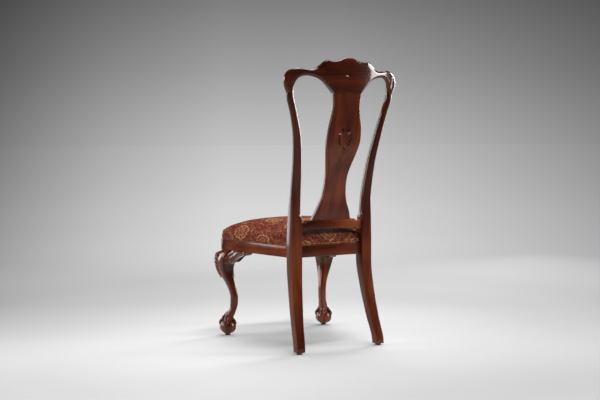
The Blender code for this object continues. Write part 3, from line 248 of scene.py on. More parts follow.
def mesh_of(shape: bmesh.types.BMesh, outward: bool = True) -> Mesh:
    """Turns a working shape into a mesh, and frees it.

    Args:
        shape: the working shape.
        outward: whether its faces are turned outward first.

    Returns:
        The mesh.
    """
    if outward:
        bmesh.ops.recalc_face_normals(shape, faces=shape.faces[:])
    mesh = bpy.data.meshes.new("form")
    shape.to_mesh(mesh)
    shape.free()
    return mesh


def shape_of(*meshes: Mesh) -> bmesh.types.BMesh:
    """Opens meshes as one working shape.

    Args:
        meshes: the meshes, each taken as it is.

    Returns:
        The working shape, with its normals up to date.
    """
    shape = bmesh.new()
    for mesh in meshes:
        shape.from_mesh(mesh)
    shape.normal_update()
    return shape


def skin(rings: Sequence[Sequence[Sequence[float]]]) -> Mesh:
    """Skins rings of equal counts and closes both ends.

    Args:
        rings: rows of points, from one end of the piece to the other.

    Returns:
        A closed mesh with outward faces.
    """
    shape = bmesh.new()
    rows = [[shape.verts.new(point) for point in ring] for ring in rings]
    count = len(rows[0])
    for low, high in zip(rows, rows[1:]):
        for index in range(count):
            after = (index + 1) % count
            shape.faces.new((low[index], low[after], high[after], high[index]))
    shape.faces.new(reversed(rows[0]))
    shape.faces.new(rows[-1])
    return mesh_of(shape)


def path_mesh(paths: Sequence[Sequence[Sequence[float]]], closed: bool = False) -> Mesh:
    """Makes a mesh of edges that follow paths.

    Args:
        paths: each path's points in order.
        closed: whether each path returns to its start.

    Returns:
        The mesh.
    """
    points: list[Row] = []
    edges: list[tuple[int, int]] = []
    for path in paths:
        first = len(points)
        points.extend(tuple(point) for point in path)
        edges.extend((index, index + 1) for index in range(first, len(points) - 1))
        if closed:
            edges.append((len(points) - 1, first))
    mesh = bpy.data.meshes.new("paths")
    mesh.from_pydata(points, edges, [])
    return mesh


def cut_across(shape: bmesh.types.BMesh, place: Vector, direction: Vector, clear: bool = False) -> None:
    """Cuts a working shape along a plane, and may clear what lies beyond it."""
    parts = shape.verts[:] + shape.edges[:] + shape.faces[:]
    bmesh.ops.bisect_plane(shape, geom=parts, plane_co=place, plane_no=direction, clear_outer=clear)


def mirrored(mesh: Mesh, side: Side) -> Mesh:
    """Gives a left mesh as it is, or its mirror image for the right.

    Args:
        mesh: the left side's mesh.
        side: the side that is wanted.

    Returns:
        That side's mesh.
    """
    if side is Side.LEFT:
        return mesh
    shape = shape_of(mesh)
    bmesh.ops.scale(shape, verts=shape.verts[:], vec=(side.value, 1, 1))
    bmesh.ops.reverse_faces(shape, faces=shape.faces[:])
    return mesh_of(shape, outward=False)


def merged_copy(node: str, flatten: bool = True) -> Mesh:
    """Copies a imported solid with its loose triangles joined.

    Args:
        node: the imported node's name.
        flatten: whether triangles that lie in one plane become one face.

    Returns:
        The joined mesh.
    """
    shape = shape_of(bpy.data.objects[node].data)
    bmesh.ops.remove_doubles(shape, verts=shape.verts[:], dist=1e-5)
    if flatten:
        flat = math.radians(0.5)
        bmesh.ops.dissolve_limit(shape, angle_limit=flat, verts=shape.verts[:], edges=shape.edges[:])
    return mesh_of(shape)


def plain_result(holder: bpy.types.Object) -> Mesh:
    """Makes a plain mesh of an object as its modifiers leave it, and removes the object.

    Args:
        holder: the object.

    Returns:
        The mesh.
    """
    made = bpy.data.meshes.new_from_object(holder.evaluated_get(bpy.context.evaluated_depsgraph_get()))
    bpy.data.objects.remove(holder, do_unlink=True)
    return made


def changed(mesh: Mesh, *changes: Change) -> Mesh:
    """Runs modifiers over a mesh and gives the plain result.

    Args:
        mesh: the mesh to work on.
        changes: each modifier's kind and settings, with a tree's inputs by their identifiers.

    Returns:
        The mesh after its modifiers.
    """
    holder = new_object("holder", mesh)
    for kind, settings in changes:
        modifier = holder.modifiers.new(kind.lower(), kind)
        for name, value in settings.items():
            if name.startswith("Socket_"):
                modifier[name] = value
            else:
                setattr(modifier, name, value)
    bpy.context.view_layer.update()
    return plain_result(holder)


def eased(mesh: Mesh, width: float, segments: int = 3) -> Mesh:
    """Rounds the sharp edges of a mesh."""
    sharp = {"limit_method": "ANGLE", "angle_limit": math.radians(32)}
    return changed(mesh, ("BEVEL", {"width": width, "segments": segments, **sharp}))


def pierced(mesh: Mesh, outlines: Sequence[Sequence[Row]], middle: float, depth: float) -> Mesh:
    """Cuts outlines in X and Z right through a mesh along Y.

    Args:
        mesh: what is cut.
        outlines: the holes, as (x, z) points in order.
        middle: a place in Y inside the piece.
        depth: how far the cut runs to either side of it.

    Returns:
        The mesh with its holes.
    """
    cutters = []
    for outline in outlines:
        shape = bmesh.new()
        face = shape.faces.new([shape.verts.new((x, middle - depth, z)) for x, z in outline])
        raised = bmesh.ops.extrude_face_region(shape, geom=[face])
        moved = [part for part in raised["geom"] if isinstance(part, bmesh.types.BMVert)]
        bmesh.ops.translate(shape, verts=moved, vec=(0, 2 * depth, 0))
        cutters.append(new_object("fret", mesh_of(shape)))
    cut = {"operation": "DIFFERENCE", "solver": "EXACT"}
    made = changed(mesh, *(("BOOLEAN", {**cut, "object": cutter}) for cutter in cutters))
    for cutter in cutters:
        bpy.data.objects.remove(cutter, do_unlink=True)
    return made


def places_of(mesh: Mesh) -> tuple[Array, Array]:
    """Reads a mesh.

    Args:
        mesh: the mesh.

    Returns:
        Its vertices and their normals, as rows.
    """
    places = np.zeros(len(mesh.vertices) * 3)
    mesh.vertices.foreach_get("co", places)
    normals = np.zeros(len(mesh.vertices) * 3, np.float32)
    mesh.vertex_normals.foreach_get("vector", normals)
    return places.reshape(-1, 3), normals.reshape(-1, 3).astype(float)


def set_places(mesh: Mesh, places: Array) -> None:
    """Moves the vertices of a mesh."""
    mesh.vertices.foreach_set("co", places.astype(np.float32).ravel())
    mesh.update()


def write_attribute(mesh: Mesh, name: str, values: Array) -> None:
    """Stores a number for each vertex."""
    attribute = mesh.attributes.get(name) or mesh.attributes.new(name, "FLOAT", "POINT")
    attribute.data.foreach_set("value", values.astype(np.float32))


def shade_ends(mesh: Mesh, axis: int, dark: float = -1.0, light: float = 0.9, centre: float = 0.5) -> Mesh:
    """Marks a piece so that its stain deepens toward its two ends.

    Args:
        mesh: the piece's mesh.
        axis: which axis it runs along.
        dark: the mark at its ends.
        light: the mark at its lightest place.
        centre: how far along it the lightest place is, from 0 to 1.

    Returns:
        The same mesh.
    """
    places, _ = places_of(mesh)
    low, high = places[:, axis].min(), places[:, axis].max()
    share = np.abs((places[:, axis] - low) / (high - low) - centre) / max(centre, 1 - centre)
    write_attribute(mesh, "tone", light + (dark - light) * soft_step(share * STAIN_GAIN - STAIN_DELAY))
    return mesh


def shade_levels(mesh: Mesh, rows: Sequence[Row]) -> None:
    """Marks how light a piece's stain is, by rows of height and mark."""
    places, _ = places_of(mesh)
    write_attribute(mesh, "tone", np.interp(places[:, 2], *zip(*rows)))


# Node trees


@dataclass(frozen=True)
class Field:
    """What a node gives out, which takes part in sums with numbers and other fields."""

    wiring: Wiring
    socket: bpy.types.NodeSocket

    def __add__(self, other: Field | float) -> Field:
        """Both together."""
        return self.wiring.math("ADD", self, other)

    def __sub__(self, other: Field | float) -> Field:
        """The field less another."""
        return self.wiring.math("SUBTRACT", self, other)

    def __mul__(self, other: Field | float) -> Field:
        """The field times another."""
        return self.wiring.math("MULTIPLY", self, other)

    def __truediv__(self, other: Field | float) -> Field:
        """The field over another."""
        return self.wiring.math("DIVIDE", self, other)

    def __abs__(self) -> Field:
        """The field without its sign."""
        return self.wiring.math("ABSOLUTE", self)


class Wiring:
    """Places and joins the nodes of one tree."""

    def __init__(self, tree: bpy.types.NodeTree) -> None:
        """Starts with the tree empty."""
        self.tree = tree
        self.tree.nodes.clear()

    def feed(self, socket: bpy.types.NodeSocket, value: object) -> None:
        """Links a socket to a field, or sets its own value.

        Args:
            socket: the input.
            value: a field or a plain value. A colour may leave out its alpha.
        """
        if isinstance(value, Field):
            self.tree.links.new(value.socket, socket)
        elif isinstance(value, tuple) and len(value) == 3 and socket.type == "RGBA":
            socket.default_value = (*value, 1.0)
        else:
            socket.default_value = value

    def place(self, kind: str, inputs: dict[str | int, object], **settings: object) -> bpy.types.Node:
        """Adds a node.

        Args:
            kind: the node's type.
            inputs: what feeds each named or numbered input.
            settings: the node's own options.

        Returns:
            The node.
        """
        node = self.tree.nodes.new(kind)
        for name, value in settings.items():
            setattr(node, name, value)
        for name, value in inputs.items():
            self.feed(node.inputs[name], value)
        return node

    def take(self, kind: str, inputs: dict[str | int, object], output: str | int = 0,
             **settings: object) -> Field:
        """Adds a node and gives one of its outputs."""
        return Field(self, self.place(kind, inputs, **settings).outputs[output])

    def math(self, operation: str, *values: object) -> Field:
        """One step of arithmetic."""
        return self.take("ShaderNodeMath", dict(enumerate(values)), operation=operation)

    def most(self, *values: Field) -> Field:
        """The highest of several fields.

        Args:
            values: the fields.

        Returns:
            Whichever is highest at each place.
        """
        best = values[0]
        for value in values[1:]:
            best = self.math("MAXIMUM", best, value)
        return best

    def vector(self, operation: str, *values: object, output: str | int = 0) -> Field:
        """One step of arithmetic on vectors."""
        return self.take("ShaderNodeVectorMath", dict(enumerate(values)), output, operation=operation)

    def scaled(self, vector: Field, factor: object) -> Field:
        """A vector or a colour times a factor."""
        return self.take("ShaderNodeVectorMath", {0: vector, "Scale": factor}, operation="SCALE")

    def along(self, vector: Field, direction: Row) -> Field:
        """How far a vector reaches along a fixed direction."""
        return self.vector("DOT_PRODUCT", vector, direction, output="Value")

    def split(self, vector: Field) -> tuple[Field, Field]:
        """The first two parts of a vector."""
        parts = self.place("ShaderNodeSeparateXYZ", {0: vector}).outputs
        return Field(self, parts[0]), Field(self, parts[1])

    def mapped(self, coordinates: Field, scale: Row, turn: Row = (0, 0, 0)) -> Field:
        """Coordinates turned first and stretched afterwards."""
        turned = self.take("ShaderNodeMapping", {"Vector": coordinates, "Rotation": turn})
        return self.take("ShaderNodeMapping", {"Vector": turned, "Scale": scale})

    def noise(self, coordinates: Field, scale: float, detail: float = 2.0, distortion: float = 0.0,
              roughness: float = 0.5, output: str = "Fac") -> Field:
        """Soft noise from 0 to 1."""
        inputs = {"Vector": coordinates, "Scale": scale, "Detail": detail, "Distortion": distortion}
        return self.take("ShaderNodeTexNoise", {**inputs, "Roughness": roughness}, output)

    def cells(self, coordinates: Field, scale: float, randomness: float) -> Field:
        """How far each place is from the nearest of many scattered points."""
        inputs = {"Vector": coordinates, "Scale": scale, "Randomness": randomness}
        return self.take("ShaderNodeTexVoronoi", inputs, "Distance")

    def ranged(self, value: Field, low: float, high: float, to_low: float = 0.0,
               to_high: float = 1.0) -> Field:
        """Maps a range smoothly onto another and stops at its ends."""
        inputs = {"Value": value, "From Min": low, "From Max": high, "To Min": to_low, "To Max": to_high}
        return self.take("ShaderNodeMapRange", inputs, interpolation_type="SMOOTHSTEP")

    def ramp(self, value: Field, stops: Sequence[tuple[float, Colour]]) -> Field:
        """A run of colours.

        Args:
            value: what picks the colour, from 0 to 1.
            stops: each colour and its place.

        Returns:
            The colour.
        """
        node = self.place("ShaderNodeValToRGB", {0: value})
        elements = node.color_ramp.elements
        while len(elements) < len(stops):
            elements.new(0.5)
        for element, (place, colour) in zip(elements, stops):
            element.position = place
            element.color = (*colour, 1.0)
        return Field(self, node.outputs[0])

    def blend(self, factor: Field, first: object, second: object) -> Field:
        """Mixes two colours."""
        return self.take("ShaderNodeMix", {0: factor, 6: first, 7: second}, 2, data_type="RGBA")

    def bump(self, height: Field, strength: float, distance: float) -> Field:
        """Small relief in the surface."""
        return self.take("ShaderNodeBump", {"Height": height, "Strength": strength, "Distance": distance})

    def attribute(self, name: str) -> Field:
        """A number that the mesh carries."""
        return self.take("ShaderNodeAttribute", {}, "Fac", attribute_name=name)

    def object_coordinates(self) -> Field:
        """Places in the piece's own frame, in metres."""
        return self.take("ShaderNodeTexCoord", {}, "Object")


class Surface(Wiring):
    """The nodes of one material, round its surface shader."""

    def __init__(self, name: str) -> None:
        """Starts a material.

        Args:
            name: the material's name.
        """
        self.material = bpy.data.materials.new(name)
        self.material.use_nodes = True
        super().__init__(self.material.node_tree)
        self.shader = self.place("ShaderNodeBsdfPrincipled", {})
        self.place("ShaderNodeOutputMaterial", {"Surface": Field(self, self.shader.outputs[0])})

    def shade(self, inputs: dict[str, object]) -> Material:
        """Feeds the surface shader.

        Args:
            inputs: what feeds each of the shader's named inputs.

        Returns:
            The finished material.
        """
        for name, value in inputs.items():
            self.feed(self.shader.inputs[name], value)
        return self.material


class Tree(Wiring):
    """A geometry node tree with named inputs, run once over a mesh."""

    def __init__(self, name: str, sizes: dict[str, float | int]) -> None:
        """Starts a tree with a geometry input and output.

        Args:
            name: the tree's name.
            sizes: the name and value of each further input.
        """
        super().__init__(bpy.data.node_groups.new(name, "GeometryNodeTree"))
        for way in ("INPUT", "OUTPUT"):
            self.tree.interface.new_socket("Geometry", in_out=way, socket_type="NodeSocketGeometry")
        self.settings: dict[str, object] = {"node_group": self.tree}
        for size, value in sizes.items():
            kind = "NodeSocketInt" if isinstance(value, int) else "NodeSocketFloat"
            socket = self.tree.interface.new_socket(size, in_out="INPUT", socket_type=kind)
            self.settings[socket.identifier] = value
        self.entry = self.place("NodeGroupInput", {})

    def given(self, name: str) -> Field:
        """What comes in by a name."""
        return Field(self, self.entry.outputs[name])

    def swept(self, curve: Field, sides: object, radius: object, scale: Field | None = None) -> Field:
        """Sweeps a circle along a curve and caps its ends.

        Args:
            curve: the curve.
            sides: how many sides stand for the circle.
            radius: the circle's radius.
            scale: its share of that radius at each point, where it changes.

        Returns:
            The swept mesh.
        """
        circle = self.take("GeometryNodeCurvePrimitiveCircle", {"Resolution": sides, "Radius": radius})
        inputs = {"Curve": curve, "Profile Curve": circle, "Fill Caps": True}
        node = self.place("GeometryNodeCurveToMesh", inputs)
        if scale is not None and "Scale" in node.inputs:
            self.feed(node.inputs["Scale"], scale)
        return Field(self, node.outputs[0])

    def run(self, mesh: Mesh, geometry: Field, material: Material) -> Mesh:
        """Realizes the instances, sets the material, closes the tree and runs it.

        Args:
            mesh: what the tree starts from.
            geometry: what it ends with.
            material: the finish of what it makes.

        Returns:
            The plain mesh that it makes.
        """
        real = self.take("GeometryNodeRealizeInstances", {"Geometry": geometry})
        painted = self.take("GeometryNodeSetMaterial", {"Geometry": real, "Material": material})
        self.place("NodeGroupOutput", {0: painted})
        return changed(mesh, ("NODES", self.settings))


# Finishes


def times(colour: Colour, factor: float) -> Colour:
    """A colour, darker or lighter by a factor."""
    return tuple(part * factor for part in colour)


@dataclass(frozen=True)
class Finish(ABC):
    """A named finish, which makes its own material."""

    name: str

    @abstractmethod
    def material(self) -> Material:
        """Makes the material."""


@dataclass(frozen=True)
class Mahogany(Finish):
    """Stained mahogany under a rubbed gloss lacquer, with dark glaze in its hollows."""

    grain: Grain
    dark: Colour = (0.034, 0.0046, 0.0015)
    middle: Colour = (0.074, 0.0130, 0.0042)
    light: Colour = (0.150, 0.033, 0.0100)
    figure: float = 1.0
    roughness: float = 0.20
    coat: float = 0.45
    ribbons: Row = (1.6, 17.0, 17.0)  # how fast each pattern changes, along the grain and across it
    streaks: Row = (4.0, 150.0, 150.0)
    pores: Row = (70.0, 1700.0, 1700.0)
    waves: Row = (9.0, 5.0, 5.0)

    def material(self) -> Material:
        """Makes the material.

        Returns:
            The lacquered wood, which reads the attributes tone, hollow and rub.
        """
        wiring = Surface(self.name)
        place = wiring.object_coordinates()
        turn = self.grain.value
        ribbon = wiring.noise(wiring.mapped(place, self.ribbons, turn), 1.0, 3.0, 0.8)
        streak = wiring.noise(wiring.mapped(place, self.streaks, turn), 1.0, 4.0, 0.3)
        pore = wiring.ranged(wiring.noise(wiring.mapped(place, self.pores, turn), 1.0, 1.0), 0.60, 0.70)
        wave = wiring.noise(wiring.mapped(place, self.waves, turn), 1.0)
        # tone is the stain's lightness. On the front legs it also carries painted shade under the rails.
        tone, hollow, rub = [wiring.attribute(name) for name in ("tone", "hollow", "rub")]
        mixed = ribbon * 0.70 + streak * 0.18 + wave * (0.12 * self.figure) + tone * 0.16
        colour = wiring.ramp(mixed, ((0.30, self.dark), (0.50, self.middle), (0.70, self.light)))
        colour = wiring.blend(pore * 0.35, colour, self.dark)
        colour = wiring.blend(hollow * 0.8, colour, times(self.dark, 0.35))
        return wiring.shade({
            "Base Color": wiring.blend(rub * 0.45, colour, times(self.light, 1.25)),
            "Roughness": streak * 0.08 + self.roughness + hollow * 0.25,
            "Specular IOR Level": 0.06,
            "Coat Weight": self.coat,
            "Coat Roughness": 0.09,
            "Normal": wiring.bump(streak - pore * 0.7, 0.12, 0.0003),
            "Coat Normal": wiring.bump(wiring.noise(place, 130.0), 0.05, 0.0008),
        })


@dataclass(frozen=True)
class Birch(Finish):
    """Plain planed hardwood, without a finish."""

    grain: Grain = Grain.ACROSS
    pale: Colour = (0.60, 0.44, 0.27)
    deep: Colour = (0.40, 0.26, 0.14)

    def material(self) -> Material:
        """Makes the material.

        Returns:
            The bare wood.
        """
        wiring = Surface(self.name)
        place = wiring.object_coordinates()
        rings = wiring.noise(wiring.mapped(place, (4.0, 60.0, 60.0), self.grain.value), 1.0, 4.0, 1.0)
        fibre = wiring.noise(wiring.mapped(place, (40.0, 900.0, 900.0), self.grain.value), 1.0)
        colour = wiring.ramp(rings, ((0.3, self.pale), (0.7, self.deep)))
        return wiring.shade({
            "Base Color": wiring.blend(fibre * 0.3, colour, self.deep),
            "Roughness": wiring.ranged(fibre, 0.0, 1.0, 0.55, 0.75),
            "Normal": wiring.bump(fibre, 0.3, 0.0004),
        })


@dataclass(frozen=True)
class Brocade(Finish):
    """Woven brocade: gold scrolls and rosettes in half-drop repeat on a wine-red ground."""

    repeat: tuple[float, float] = (0.112, 0.140)
    ground: Colour = (0.142, 0.0260, 0.0150)
    shade: Colour = (0.030, 0.0045, 0.003)
    rose: Colour = (0.230, 0.062, 0.036)
    gold: Colour = (0.560, 0.300, 0.145)
    thread: float = 0.0011
    weft_share: float = 1.3  # how much wider the weft's threads are
    wander: float = 0.016
    petals: float = 10.0
    ring: float = 0.245  # this and the next three are shares of the repeat
    inner_ring: float = 0.120
    lattice: float = 0.29
    lattice_bow: float = 0.17

    def tile(self, wiring: Wiring, place: Field) -> tuple[Field, Field]:
        """Finds each place in its own tile of the half-drop repeat.

        Args:
            wiring: the material's nodes.
            place: the cloth's coordinates, in metres.

        Returns:
            How far it is from the tile's middle, across without its sign and upward with it.
        """
        side, up = wiring.split(place)
        across = side / self.repeat[0]
        column = wiring.math("FLOOR", across + 0.5)
        upward = up / self.repeat[1] + wiring.math("MODULO", abs(column), 2.0) * 0.5
        return abs(across - column), upward - wiring.math("FLOOR", upward + 0.5)

    def figure(self, wiring: Wiring, weave: Field) -> tuple[Field, Field]:
        """Draws the scrolls.

        Args:
            wiring: the material's nodes.
            weave: the cloth's own coordinates, in metres.

        Returns:
            How much gold and how much rose shows, from 0 to 1.
        """

        def line(value: Field, place: float, width: float) -> Field:
            """A soft line where a value passes a place."""
            return wiring.ranged(abs(value - place), width, width * 0.4)

        wander = wiring.vector("SUBTRACT", wiring.noise(weave, 26.0, output="Color"), (0.5, 0.5, 0.5))
        moved = wiring.vector("ADD", weave, wiring.scaled(wander, self.wander))
        x, y = self.tile(wiring, moved)
        radius = wiring.math("SQRT", x * x + y * y)
        waves = wiring.math("COSINE", wiring.math("ARCTAN2", y, x + 0.0001) * self.petals)
        lattice = x - (wiring.math("COSINE", y * (2 * math.pi)) * self.lattice_bow + self.lattice)
        swing = wiring.math("SINE", y * 38.0 + x * 30.0)
        leaf = wiring.ranged(swing, 0.25, 0.7) * line(lattice, 0.01, 0.085)
        scrolls = wiring.most(
            line(radius + waves * 0.018, self.ring, 0.048),
            line(lattice, 0.0, 0.036) * 0.62,
            line(radius - waves * 0.030, self.inner_ring, 0.042) * 0.9,
            wiring.most(line(lattice, 0.085, 0.022), leaf) * 0.55)
        stroke = wiring.ranged(wiring.noise(weave, 300.0, 2.0, 0.4), 0.45, 0.57)
        sprig = wiring.ranged(wiring.cells(moved, 230.0, 1.0), 0.34, 0.14)
        tufts = sprig * wiring.ranged(wiring.noise(weave, 42.0), 0.42, 0.60)
        petal = wiring.ranged(waves * 0.03 - radius, -0.11, -0.085)
        flecks = wiring.ranged(wiring.noise(weave, 120.0, 3.0), 0.48, 0.60)
        return wiring.most(scrolls * stroke, tufts * 0.75), wiring.most(petal, flecks)

    def material(self) -> Material:
        """Makes the material.

        Returns:
            The cloth, which reads the map weave, the stitched lower edge with its painted shade, and deep, a
            painted shadow under the shoe rail.
        """
        wiring = Surface(self.name)
        weave = wiring.take("ShaderNodeUVMap", {}, uv_map="weave")
        gold, rose = self.figure(wiring, weave)
        across, upward = wiring.split(weave)
        warp = wiring.math("SINE", across * (2 * math.pi / self.thread))
        weft = wiring.math("SINE", upward * (2 * math.pi / self.thread / self.weft_share))
        threads = warp * weft * 0.5
        fuzz = wiring.noise(weave, 430.0, 3.0, 0.0, 0.7)
        worn = gold + (fuzz - 0.5) * 0.9 + (wiring.noise(weave, 21.0) - 0.5) * 1.1
        shown = wiring.ranged(worn, 0.28, 1.05)
        grains = wiring.noise(weave, 260.0, 2.0, 0.0, 0.6)
        ground = wiring.blend(wiring.ranged(grains, 0.40, 0.56), self.shade, self.ground)
        ground = wiring.blend(rose * wiring.ranged(fuzz, 0.3, 0.6), ground, self.rose)
        hem, deep = wiring.attribute("hem"), wiring.attribute("deep")
        stitch = hem * wiring.ranged(wiring.cells(weave, 150.0, 0.3), 0.36, 0.24)
        # Painted shade: a dark band along the cushion's lower edge, where it meets the rails. The gold
        # stitches on it are the cloth's own.
        colour = wiring.blend(hem * 0.6, wiring.blend(shown, ground, self.gold), self.shade)
        colour = wiring.blend(stitch, colour, times(self.gold, 1.5))
        # Painted shadow under the shoe rail: where deep is marked, the cloth goes nearly black.
        colour = wiring.blend(deep, colour, times(self.shade, 0.3))
        return wiring.shade({
            "Base Color": wiring.scaled(colour, wiring.ranged(threads, -0.5, 0.5, 0.72, 1.12)),
            "Roughness": wiring.ranged(shown, 0.0, 1.0, 0.86, 0.52),
            "Specular IOR Level": 0.03,
            "Sheen Weight": 0.012,
            "Sheen Roughness": 0.45,
            "Sheen Tint": (0.9, 0.62, 0.5),
            "Normal": wiring.bump(threads * 0.5 + shown * 0.8 + fuzz * 0.4, 0.55, 0.0005),
        })


@dataclass(frozen=True)
class DustCloth(Finish):
    """Thin black non-woven cloth under the seat."""

    colour: Colour = (0.018, 0.018, 0.019)
    fibre: Colour = (0.045, 0.045, 0.047)

    def material(self) -> Material:
        """Makes the material.

        Returns:
            The dull black cloth.
        """
        wiring = Surface(self.name)
        fibre = wiring.noise(wiring.object_coordinates(), 900.0, 4.0, 0.5, 0.7)
        return wiring.shade({
            "Base Color": wiring.blend(fibre, self.colour, self.fibre),
            "Roughness": 0.93,
            "Normal": wiring.bump(fibre, 0.5, 0.0003),
        })


@dataclass(frozen=True)
class Steel(Finish):
    """Zinc-plated steel with fine turning marks."""

    colour: Colour = (0.55, 0.55, 0.57)
    dull: Colour = (0.42, 0.42, 0.43)

    def material(self) -> Material:
        """Makes the material.

        Returns:
            The plated metal.
        """
        wiring = Surface(self.name)
        place = wiring.object_coordinates()
        marks = wiring.noise(wiring.mapped(place, (300.0, 300.0, 3000.0)), 1.0)
        patch = wiring.noise(place, 240.0, 3.0)
        return wiring.shade({
            "Base Color": wiring.blend(patch, self.dull, self.colour),
            "Metallic": 1.0,
            "Roughness": wiring.ranged(patch, 0.2, 0.8, 0.28, 0.46),
            "Normal": wiring.bump(marks, 0.15, 0.0002),
        })


@dataclass(frozen=True)
class Nylon(Finish):
    """Moulded dark nylon, scuffed where it slides."""

    colour: Colour = (0.030, 0.022, 0.018)
    worn: Colour = (0.09, 0.08, 0.075)

    def material(self) -> Material:
        """Makes the material.

        Returns:
            The scuffed nylon.
        """
        wiring = Surface(self.name)
        scuff = wiring.noise(wiring.object_coordinates(), 420.0, 4.0)
        return wiring.shade({
            "Base Color": wiring.blend(wiring.ranged(scuff, 0.5, 0.8), self.colour, self.worn),
            "Roughness": wiring.ranged(scuff, 0.3, 0.8, 0.38, 0.6),
            "Normal": wiring.bump(scuff, 0.2, 0.0003),
        })


# The bench: pieces and what they ride on


@dataclass
class Bench:
    """Makes finished objects of meshes, and keeps the finishes that they share."""

    finishes: dict[str, Material] = field(default_factory=dict)
    count: int = 0

    def finish(self, kind: Finish) -> Material:
        """Gives the material of a finish, which is made only once.

        Args:
            kind: the finish.

        Returns:
            Its material.
        """
        if kind.name not in self.finishes:
            self.finishes[kind.name] = kind.material()
        return self.finishes[kind.name]

    def piece(self, name: str, mesh: Mesh, kind: Finish, replaces: Sequence[str] = (),
              smooth: float = 35.0) -> bpy.types.Object:
        """Adds a finished piece of the chair.

        Args:
            name: the piece's name.
            mesh: its mesh, in the chair's own frame.
            kind: its finish.
            replaces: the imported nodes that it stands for.
            smooth: the angle in degrees below which faces are shaded as one.

        Returns:
            The piece.
        """
        mesh.name = name
        mesh.materials.clear()
        mesh.materials.append(self.finish(kind))
        mesh.shade_smooth()
        mesh.set_sharp_from_angle(angle=math.radians(smooth))
        item = new_object(name, mesh)
        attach(item, "root")
        if replaces:
            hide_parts(*replaces)
        self.count += 1
        LOG.info("%s: %d faces, %s", name, len(mesh.polygons), kind.name)
        return item

    def pair(self, name: str, mesh: Mesh, kind: Finish, slot: str, node: str, smooth: float = 35.0) -> None:
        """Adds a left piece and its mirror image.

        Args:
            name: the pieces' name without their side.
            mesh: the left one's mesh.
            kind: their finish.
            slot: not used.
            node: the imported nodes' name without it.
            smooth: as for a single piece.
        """
        for side in Side:
            made = mirrored(mesh, side)
            self.piece(f"{name}_{side.word}", made, kind, [f"{node}_{side.word}"], smooth)

    def copy(self, name: str, node: str, kind: Finish, slot: str) -> None:
        """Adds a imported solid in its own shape."""
        self.piece(name, merged_copy(node), kind, [node])


# Sub-assemblies


@dataclass(frozen=True)
class SeatPlan:
    """The seat frame in plan, which the rails, legs, brackets and pad share."""

    line: float = 0.15473  # the rear posts' centres at the seat, in Y
    post: float = 0.0432
    spread: float = 0.1548
    width: float = 0.5242
    depth: float = 0.407
    rail: float = 0.023
    bottom: float = 0.3466
    top: float = 0.3888
    gap: float = 0.0003

    @property
    def front(self) -> float:
        """The front rail's face."""
        return self.line - self.post / 2 - self.depth

    @property
    def angle(self) -> float:
        """How far each side rail turns outward toward the front."""
        return math.atan2(self.width / 2 - self.spread - self.post / 2, self.depth)

    @property
    def forward(self) -> Vector:
        """Along the left side rail, toward the front."""
        return Vector((math.sin(self.angle), -math.cos(self.angle), 0))

    @property
    def outward(self) -> Vector:
        """Out from the left side rail's face."""
        return Vector((math.cos(self.angle), math.sin(self.angle), 0))

    def side_face(self, y: float) -> Vector:
        """The point of the left side rail's face at a place in Y."""
        start = Vector((self.spread + self.post / 2, self.line - self.post / 2, 0))
        return start + self.forward * ((y - start.y) / self.forward.y)


@dataclass
class RearPosts:
    """Rear legs and stiles, each one sweep from the floor to the crest."""

    plan: SeatPlan
    bottom: float = 0.0075
    top: float = 0.952
    square_top: float = 0.4954
    edge: float = 0.0015
    round_share: float = 0.36
    tongue: float = 0.009
    outer_tongue: float = 0.12
    outer_drop: float = 0.01  # how far lower the outer corners start to round
    splay: float = 0.0204
    setback: float = 0.0701
    flare: float = 0.0617
    lean: float = 0.0712
    levels: int = 96
    tongue_levels: int = 7
    corner_steps: int = 5
    flat_steps: int = 2
    leg_shares: Rows = (
        (0.0, 1.0, 1.0, 0.755), (0.318, 0.620, 0.575, 0.822), (0.657, 0.211, 0.188, 0.920),
        (0.954, 0.0, 0.0, 1.0))
    stile_shares: Rows = (
        (0.009, 0.0, 0.0, 1.0), (0.162, 0.003, 0.024, 0.915), (0.247, 0.014, 0.057, 0.872),
        (0.366, 0.040, 0.168, 0.833), (0.571, 0.152, 0.485, 0.729), (0.741, 0.386, 0.775, 0.640),
        (0.877, 0.705, 0.930, 0.560), (1.0, 1.0, 1.0, 0.565))
    tones: Rows = ((0.05, -0.1), (0.20, 0.5), (0.36, 0.5), (0.55, -0.5), (0.9, -0.6))

    def stations(self) -> list[Row]:
        """Works out where the left post runs.

        Returns:
            Rows of height, outward and rearward shift and share of the width.
        """
        rise = self.plan.bottom - self.bottom
        leg = [(self.bottom + rise * up, self.splay * out, self.setback * back, width)
               for up, out, back, width in self.leg_shares]
        rise = self.top - self.plan.top
        stile = [(self.plan.top + rise * up, self.flare * out, self.lean * back, width)
                 for up, out, back, width in self.stile_shares]
        return leg + stile

    def ring(self, height: float) -> list[Row]:
        """Draws the left post's section, square below and rounded above.

        Args:
            height: how high over the floor.

        Returns:
            Its points in order.
        """
        out, back, share = read_rows(self.stations(), height)
        half = self.plan.post * share / 2
        full = 2 * half * self.round_share - self.edge
        inner = self.edge + full * turned_on(height, self.square_top, self.tongue)
        outer = self.edge + full * turned_on(height, self.square_top - self.outer_drop, self.outer_tongue)
        section = rounded_section(half, half, outer, inner, self.corner_steps, self.flat_steps)
        return [(self.plan.spread + out + x, self.plan.line + back + y, height) for x, y in section]

    def build(self, bench: Bench) -> None:
        """Adds both posts.

        Args:
            bench: makes the pieces.
        """
        even = np.linspace(self.bottom, self.top, self.levels)
        fine = self.square_top + self.tongue * np.linspace(-0.1, 1.1, self.tongue_levels)
        heights = sorted([height for height in even if not fine[0] <= height <= fine[-1]] + list(fine))
        mesh = skin([self.ring(height) for height in heights])
        shade_levels(mesh, self.tones)
        finish = Mahogany("mahogany_upright", Grain.UPRIGHT, coat=0.55)
        bench.pair("post", mesh, finish, "mahogany", "rear_post")


